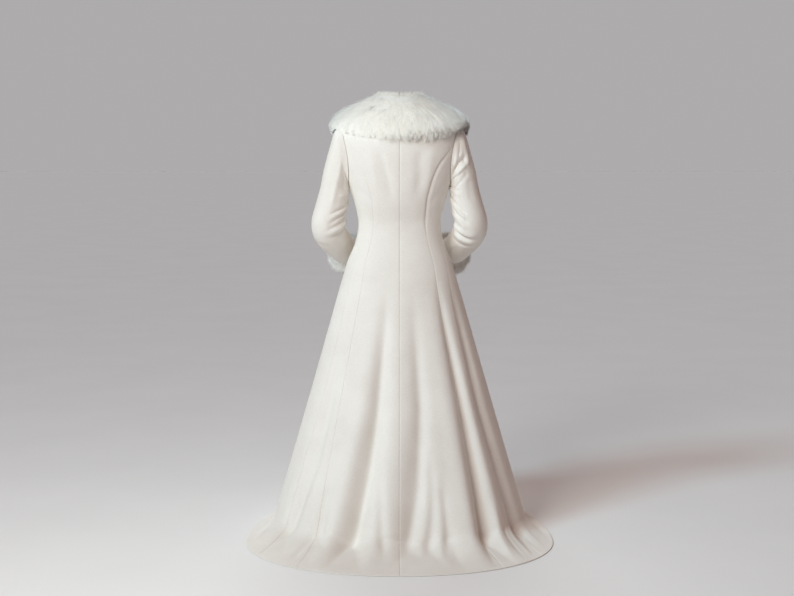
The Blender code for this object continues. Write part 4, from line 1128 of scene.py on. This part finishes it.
# some strands at the edge cast their own shade, in a piece of their own
shadeShare = np.interp(root[:, 0], collar["fringeAcross"], collar["fringeShades"])
shadeShare = np.where(root[:, 1] > 0, shadeShare, collar["frontShades"])
fringe = (v > collar["fringeFrom"]) & (dice.random(count) < shadeShare)
third = np.minimum((u * collar["parts"]).astype(int), collar["parts"] - 1)
for part in range(collar["parts"] + 1):
    last = part == collar["parts"]
    own = fringe if last else ~fringe & (third == part)
    strandPiece("collarFringe" if last else f"collarFur{part + 1}", root[own], bend[own],
                                 tip[own], thick[own], tone[own], pelt[own], "fur_collar", last)
hideTop.transpose(1, 0, 2)
print("collar furred:", count, "strands")

# Cuffs. Columns: ring of the sleeve, pile standing off it.
cuff = {
    "profile": np.array([
        (14, 0.006), (14.2, 0.019), (14.6, 0.029), (15.2, 0.032), (15.8, 0.03),
        (16.2, 0.02), (16.4, 0.006),
    ]),
    "seed": 23,
    "hideGrid": (17, 49),       # points along the arm and round it
    "clear": 0.0008,            # off the sleeve
    "base": 0.0005,             # off the sleeve, where the pile starts
    "hideShare": 0.8,
    "hideRows": (14.13, 16.27),
    "strands": 7000,
    "tuft": (7, 34),            # tufts along the arm and round it
    "middle": 15.2,
    "stretch": 1.1,             # the tips' rows past the hide's, from the middle to both rims
    "lean": 0.36,               # rings that the tips lie towards the hand
    "tipSpread": (0.05, 0.12),          # of single hairs along the arm and round it
    "tuftSpread": (0.05, 0.15),         # and of whole tufts
    "tipRows": (14.0, 16.4),
    "gather": 0.35,
    "reachSpread": (0.07, 0.07),        # from tuft to tuft and from hair to hair
    "frizz": 0.2,
    "frizzReach": (0.1, 0.42),
    "bend": (0.12, 0.0012),
    "tuftTone": 0.08,
}


def tipRowAt(share):
    # the row that hair from a share of the hide points to: spread out from the middle towards
    # both rims, and leaning towards the hand
    low, high = cuff["hideRows"]
    row = low + share * (high - low)
    return cuff["middle"] + (row - cuff["middle"]) * cuff["stretch"] + cuff["lean"]


for label, side in sides:
    dice = np.random.default_rng(cuff["seed"] + side)
    mirror, around = np.array([side, 1, 1]), cut["armSides"]
    rowCount, cornerCount = cuff["hideGrid"]
    rows = np.linspace(*cuff["hideRows"], rowCount)[:, None]
    corners = np.linspace(0, around, cornerCount)[None, :]
    pile = follow(cuff["profile"], rows[:, 0]) * hideHeightAt(np.linspace(0, 1, rowCount))[:, None]
    skin = sleeveRing(rows, corners, cuff["base"] + cuff["hideShare"] * pile) * mirror
    lining = sleeveRing(rows, corners, cuff["clear"]) * mirror
    skinNormal = facing(gridNormals(skin), skin - skin.mean(1, keepdims=True))
    skinUV = np.stack([arcLengths(skin, 1), arcLengths(skin, 0)], -1)[:, :-1]
    hide = furShell(f"cuffHide{label}", skin[:, :-1], lining[:, :-1], skinUV, solidOf("cuff" + label), True)
    count = cuff["strands"]
    u, v = scatter(skin, count, dice)
    tuftRows, tuftCorners = cuff["tuft"]
    row, corner = (u * tuftRows).astype(int), (v * tuftCorners).astype(int)
    jitter = dice.normal(0, 1, (tuftRows * tuftCorners, 3))[row * tuftCorners + corner]
    tipRow = tipRowAt(u) + dice.normal(0, cuff["tipSpread"][0], count)
    tuftRow = tipRowAt((row + 0.5) / tuftRows) + cuff["tuftSpread"][0] * jitter[:, 0]
    tipCorner = v * around + dice.normal(0, cuff["tipSpread"][1], count)
    tuftCorner = (corner + 0.5) / tuftCorners * around + cuff["tuftSpread"][1] * jitter[:, 1]
    gather = gathered(cuff["gather"], count, dice)
    tipRow, tipCorner = tipRow + (tuftRow - tipRow) * gather, tipCorner + (tuftCorner - tipCorner) * gather
    tipRow = np.clip(tipRow, *cuff["tipRows"])
    frizzy = dice.random(count) < cuff["frizz"]
    tuftSpread, hairSpread = cuff["reachSpread"]
    share = 1 + tuftSpread * jitter[:, 2] + dice.normal(0, hairSpread, count)
    share = share + frizzy * dice.uniform(*cuff["frizzReach"], count)
    tip = sleeveRing(tipRow, tipCorner, cuff["base"] + follow(cuff["profile"], tipRow)[:, 0] * share) * mirror
    root = gridAt(skin, u, v)
    bend = bentAt(root, tip, unit(root - gridAt(lining, u, v), 1e-9), *cuff["bend"], dice)
    thick = widthOf(frizzy, dice)
    tone = furLook["plain"] + cuff["tuftTone"] * jitter[:, 0] + furLook["mixed"] * dice.normal(0, 1, count)
    strands = strandPiece(f"cuffFur{label}", root, bend, tip, thick, tone, gridAt(skinNormal, u, v),
                          solidOf("cuff" + label), False)
print("cuffs furred")

# Covered buttons: a low dome of the coat's cloth drawn over a round form, with a rolled rim.
# Profile columns: way from the seat to the crown, share of the radius, share of the height.
button = {
    "radius": 0.0125,
    "thick": 0.0085,
    "gap": 0.0008,
    "heights": (-0.33, -0.4, -0.47, -0.53),
    "turns": 48,
    "rings": 25,
    "weave": 1.25,              # its cloth's pattern, finer for the size
    "profile": np.array([
        (0, 0.2, 0), (0.08, 0.22, 0.08), (0.16, 0.24, 0.2), (0.24, 0.62, 0.21),
        (0.34, 0.9, 0.23), (0.42, 0.985, 0.32), (0.5, 1, 0.42), (0.58, 0.975, 0.53),
        (0.66, 0.9, 0.67), (0.76, 0.72, 0.83), (0.88, 0.4, 0.95), (1, 0.04, 1),
    ]),
}
buttonCloth = clothMaterial("buttonCloth", woolLook, button["weave"])
for number, z in enumerate(button["heights"], start=1):
    at, drop = np.array([-180.0]), np.array([-z])
    seat = coatForm(at, drop) + cut["lap"] * outward(plainForm, at, drop)
    out = outward(coatForm, at, drop)[0]
    across = unit(np.array([1.0, 0.0, 0.0]) - out[0] * out)
    up = np.cross(out, across)
    profile = follow(button["profile"], np.linspace(0, 1, button["rings"]))
    reach, height = profile.T[..., None, None]
    turn = np.linspace(0, 2 * np.pi, button["turns"], endpoint=False)[None, :, None]
    start = seat[0] + button["gap"] * out
    rings = (start + reach * button["radius"] * (np.cos(turn) * across + np.sin(turn) * up)
             + height * button["thick"] * out)
    points = np.concatenate([rings.reshape(-1, 3), [start, start + button["thick"] * out]])
    index = np.arange(rings.size // 3).reshape(rings.shape[:2])
    after = np.roll(index, -1, axis=1)
    seatPoint, crown = (np.full(button["turns"], index.size + i) for i in (0, 1))
    faces = np.concatenate([
        np.stack([index[:-1], after[:-1], after[1:]], -1).reshape(-1, 3),
        np.stack([index[:-1], after[1:], index[1:]], -1).reshape(-1, 3),
        np.stack([seatPoint, after[0], index[0]], -1), np.stack([crown, index[-1], after[-1]], -1)])
    uv = np.stack([(points - start) @ across, (points - start) @ up], -1)
    piece = meshFrom(f"coveredButton{number}", points, faces, buttonCloth, uv)
    standFor(piece, f"button_{number}")
print("buttons sewn on")


def fromSide(turn, height):
    # direction of a light by degrees round the coat, 0 in front of it, and above level
    a, e = math.radians(turn), math.radians(height)
    return Vector((math.sin(a) * math.cos(e), -math.cos(a) * math.cos(e), math.sin(e)))


# Room: a plain pale floor, and a camera and soft lights where the photograph has them.
# A light has its kind, its place, the point it faces and what Blender calls its settings.
studio = {
    "floorColour": (0.86, 0.865, 0.858),
    "floorSize": 60.0,
    "floorBelow": 0.0002,       # metres below the hem
    "floorGrain": (2.2, 3.0),   # scale and detail of its pattern,
    "floorTones": ((0.3, 0.985), (0.7, 1.01)),      # and how far it darkens and lightens
    "world": (1.0, 0.62, 0.53),                     # what lights the coat all round
    "worldStrength": 0.235,
    "backdrop": (0.4205, 0.4085, 0.4125),           # what the camera sees past the floor
    "cameraAt": Vector((0.0086, 4.858, -0.12)),
    "aim": Vector((0.0086, 0.0, -0.661)),
    "lens": 63.25,
    "sensor": 36.0,
    "lights": {
        "lampLight": ("AREA", Vector((1.35, 2.35, 0.95)), Vector((0.0, 0.0, -0.3)),
                      {"shape": "DISK", "size": 1.2, "energy": 46.0, "color": (0.985, 1.0, 0.975)}),
        "keyLight": ("SUN", fromSide(125.0, 35.0), Vector(),
                     {"angle": math.radians(15.0), "energy": 1.15, "color": (0.62, 0.88, 1.0)}),
        "frontLight": ("SUN", fromSide(4.0, 20.0), Vector(),
                       {"angle": math.radians(40.0), "energy": 1.42, "color": (0.82, 0.925, 0.955)}),
    },
}


def studioFloor():
    # a square just below the hem, in a pale paint with a faint slow pattern
    mesh = bpy.data.meshes.new("studioFloor")
    size, z = studio["floorSize"], coat["floorZ"] - studio["floorBelow"]
    corners = [(-size, -size, z), (size, -size, z), (size, size, z), (-size, size, z)]
    mesh.from_pydata(corners, [], [(0, 1, 2, 3)])
    floor = bpy.data.objects.new("studioFloor", mesh)
    bpy.context.scene.collection.objects.link(floor)
    material, tree, shader = newMaterial("studioFloor")
    grain = noise(tree, node(tree, "ShaderNodeTexCoord").outputs["Object"], *studio["floorGrain"])
    colour = np.array(studio["floorColour"])
    tones = ramp(tree, grain, [(place, tuple(colour * level)) for place, level in studio["floorTones"]])
    feed(shader, {"Base Color": tones, "Roughness": 1.0, "Specular IOR Level": 0.0})
    mesh.materials.append(material)


def setUp(name, data, place, aim, front):
    # a lamp or camera at a place, its front axis turned to a point
    made = bpy.data.objects.new(name, data)
    made.location = place
    made.rotation_mode = "QUATERNION"
    made.rotation_quaternion = (aim - place if front == "-Z" else place - aim).to_track_quat(front, "Y")
    bpy.context.scene.collection.objects.link(made)
    return made


studioFloor()
for name, (kind, place, aim, settings) in studio["lights"].items():
    data = bpy.data.lights.new(name, kind)
    for key, value in settings.items():
        setattr(data, key, value)
    setUp(name, data, place, aim, "Z").visible_camera = False

world = bpy.data.worlds.new("studioWorld")
world.use_nodes = True
air = world.node_tree
allRound = feed(air.nodes["Background"], {"Color": (*studio["world"], 1.0),
                                          "Strength": studio["worldStrength"]})
seen = node(air, "ShaderNodeBackground", {"Color": (*studio["backdrop"], 1.0)})
either = node(air, "ShaderNodeMixShader", {0: node(air, "ShaderNodeLightPath").outputs["Is Camera Ray"],
                                           1: allRound.outputs[0], 2: seen.outputs[0]})
feed(air.nodes["World Output"], {"Surface": either.outputs[0]})
bpy.context.scene.world = world
bpy.context.scene.view_settings.view_transform = "Standard"
bpy.context.scene.cycles.diffuse_bounces = 8       # light passes on through white fur

cameraData = bpy.data.cameras.new("photoCamera")
cameraData.lens = studio["lens"]
cameraData.sensor_width = studio["sensor"]
bpy.context.scene.camera = setUp("photoCamera", cameraData, studio["cameraAt"], studio["aim"], "-Z")
print("studio set")
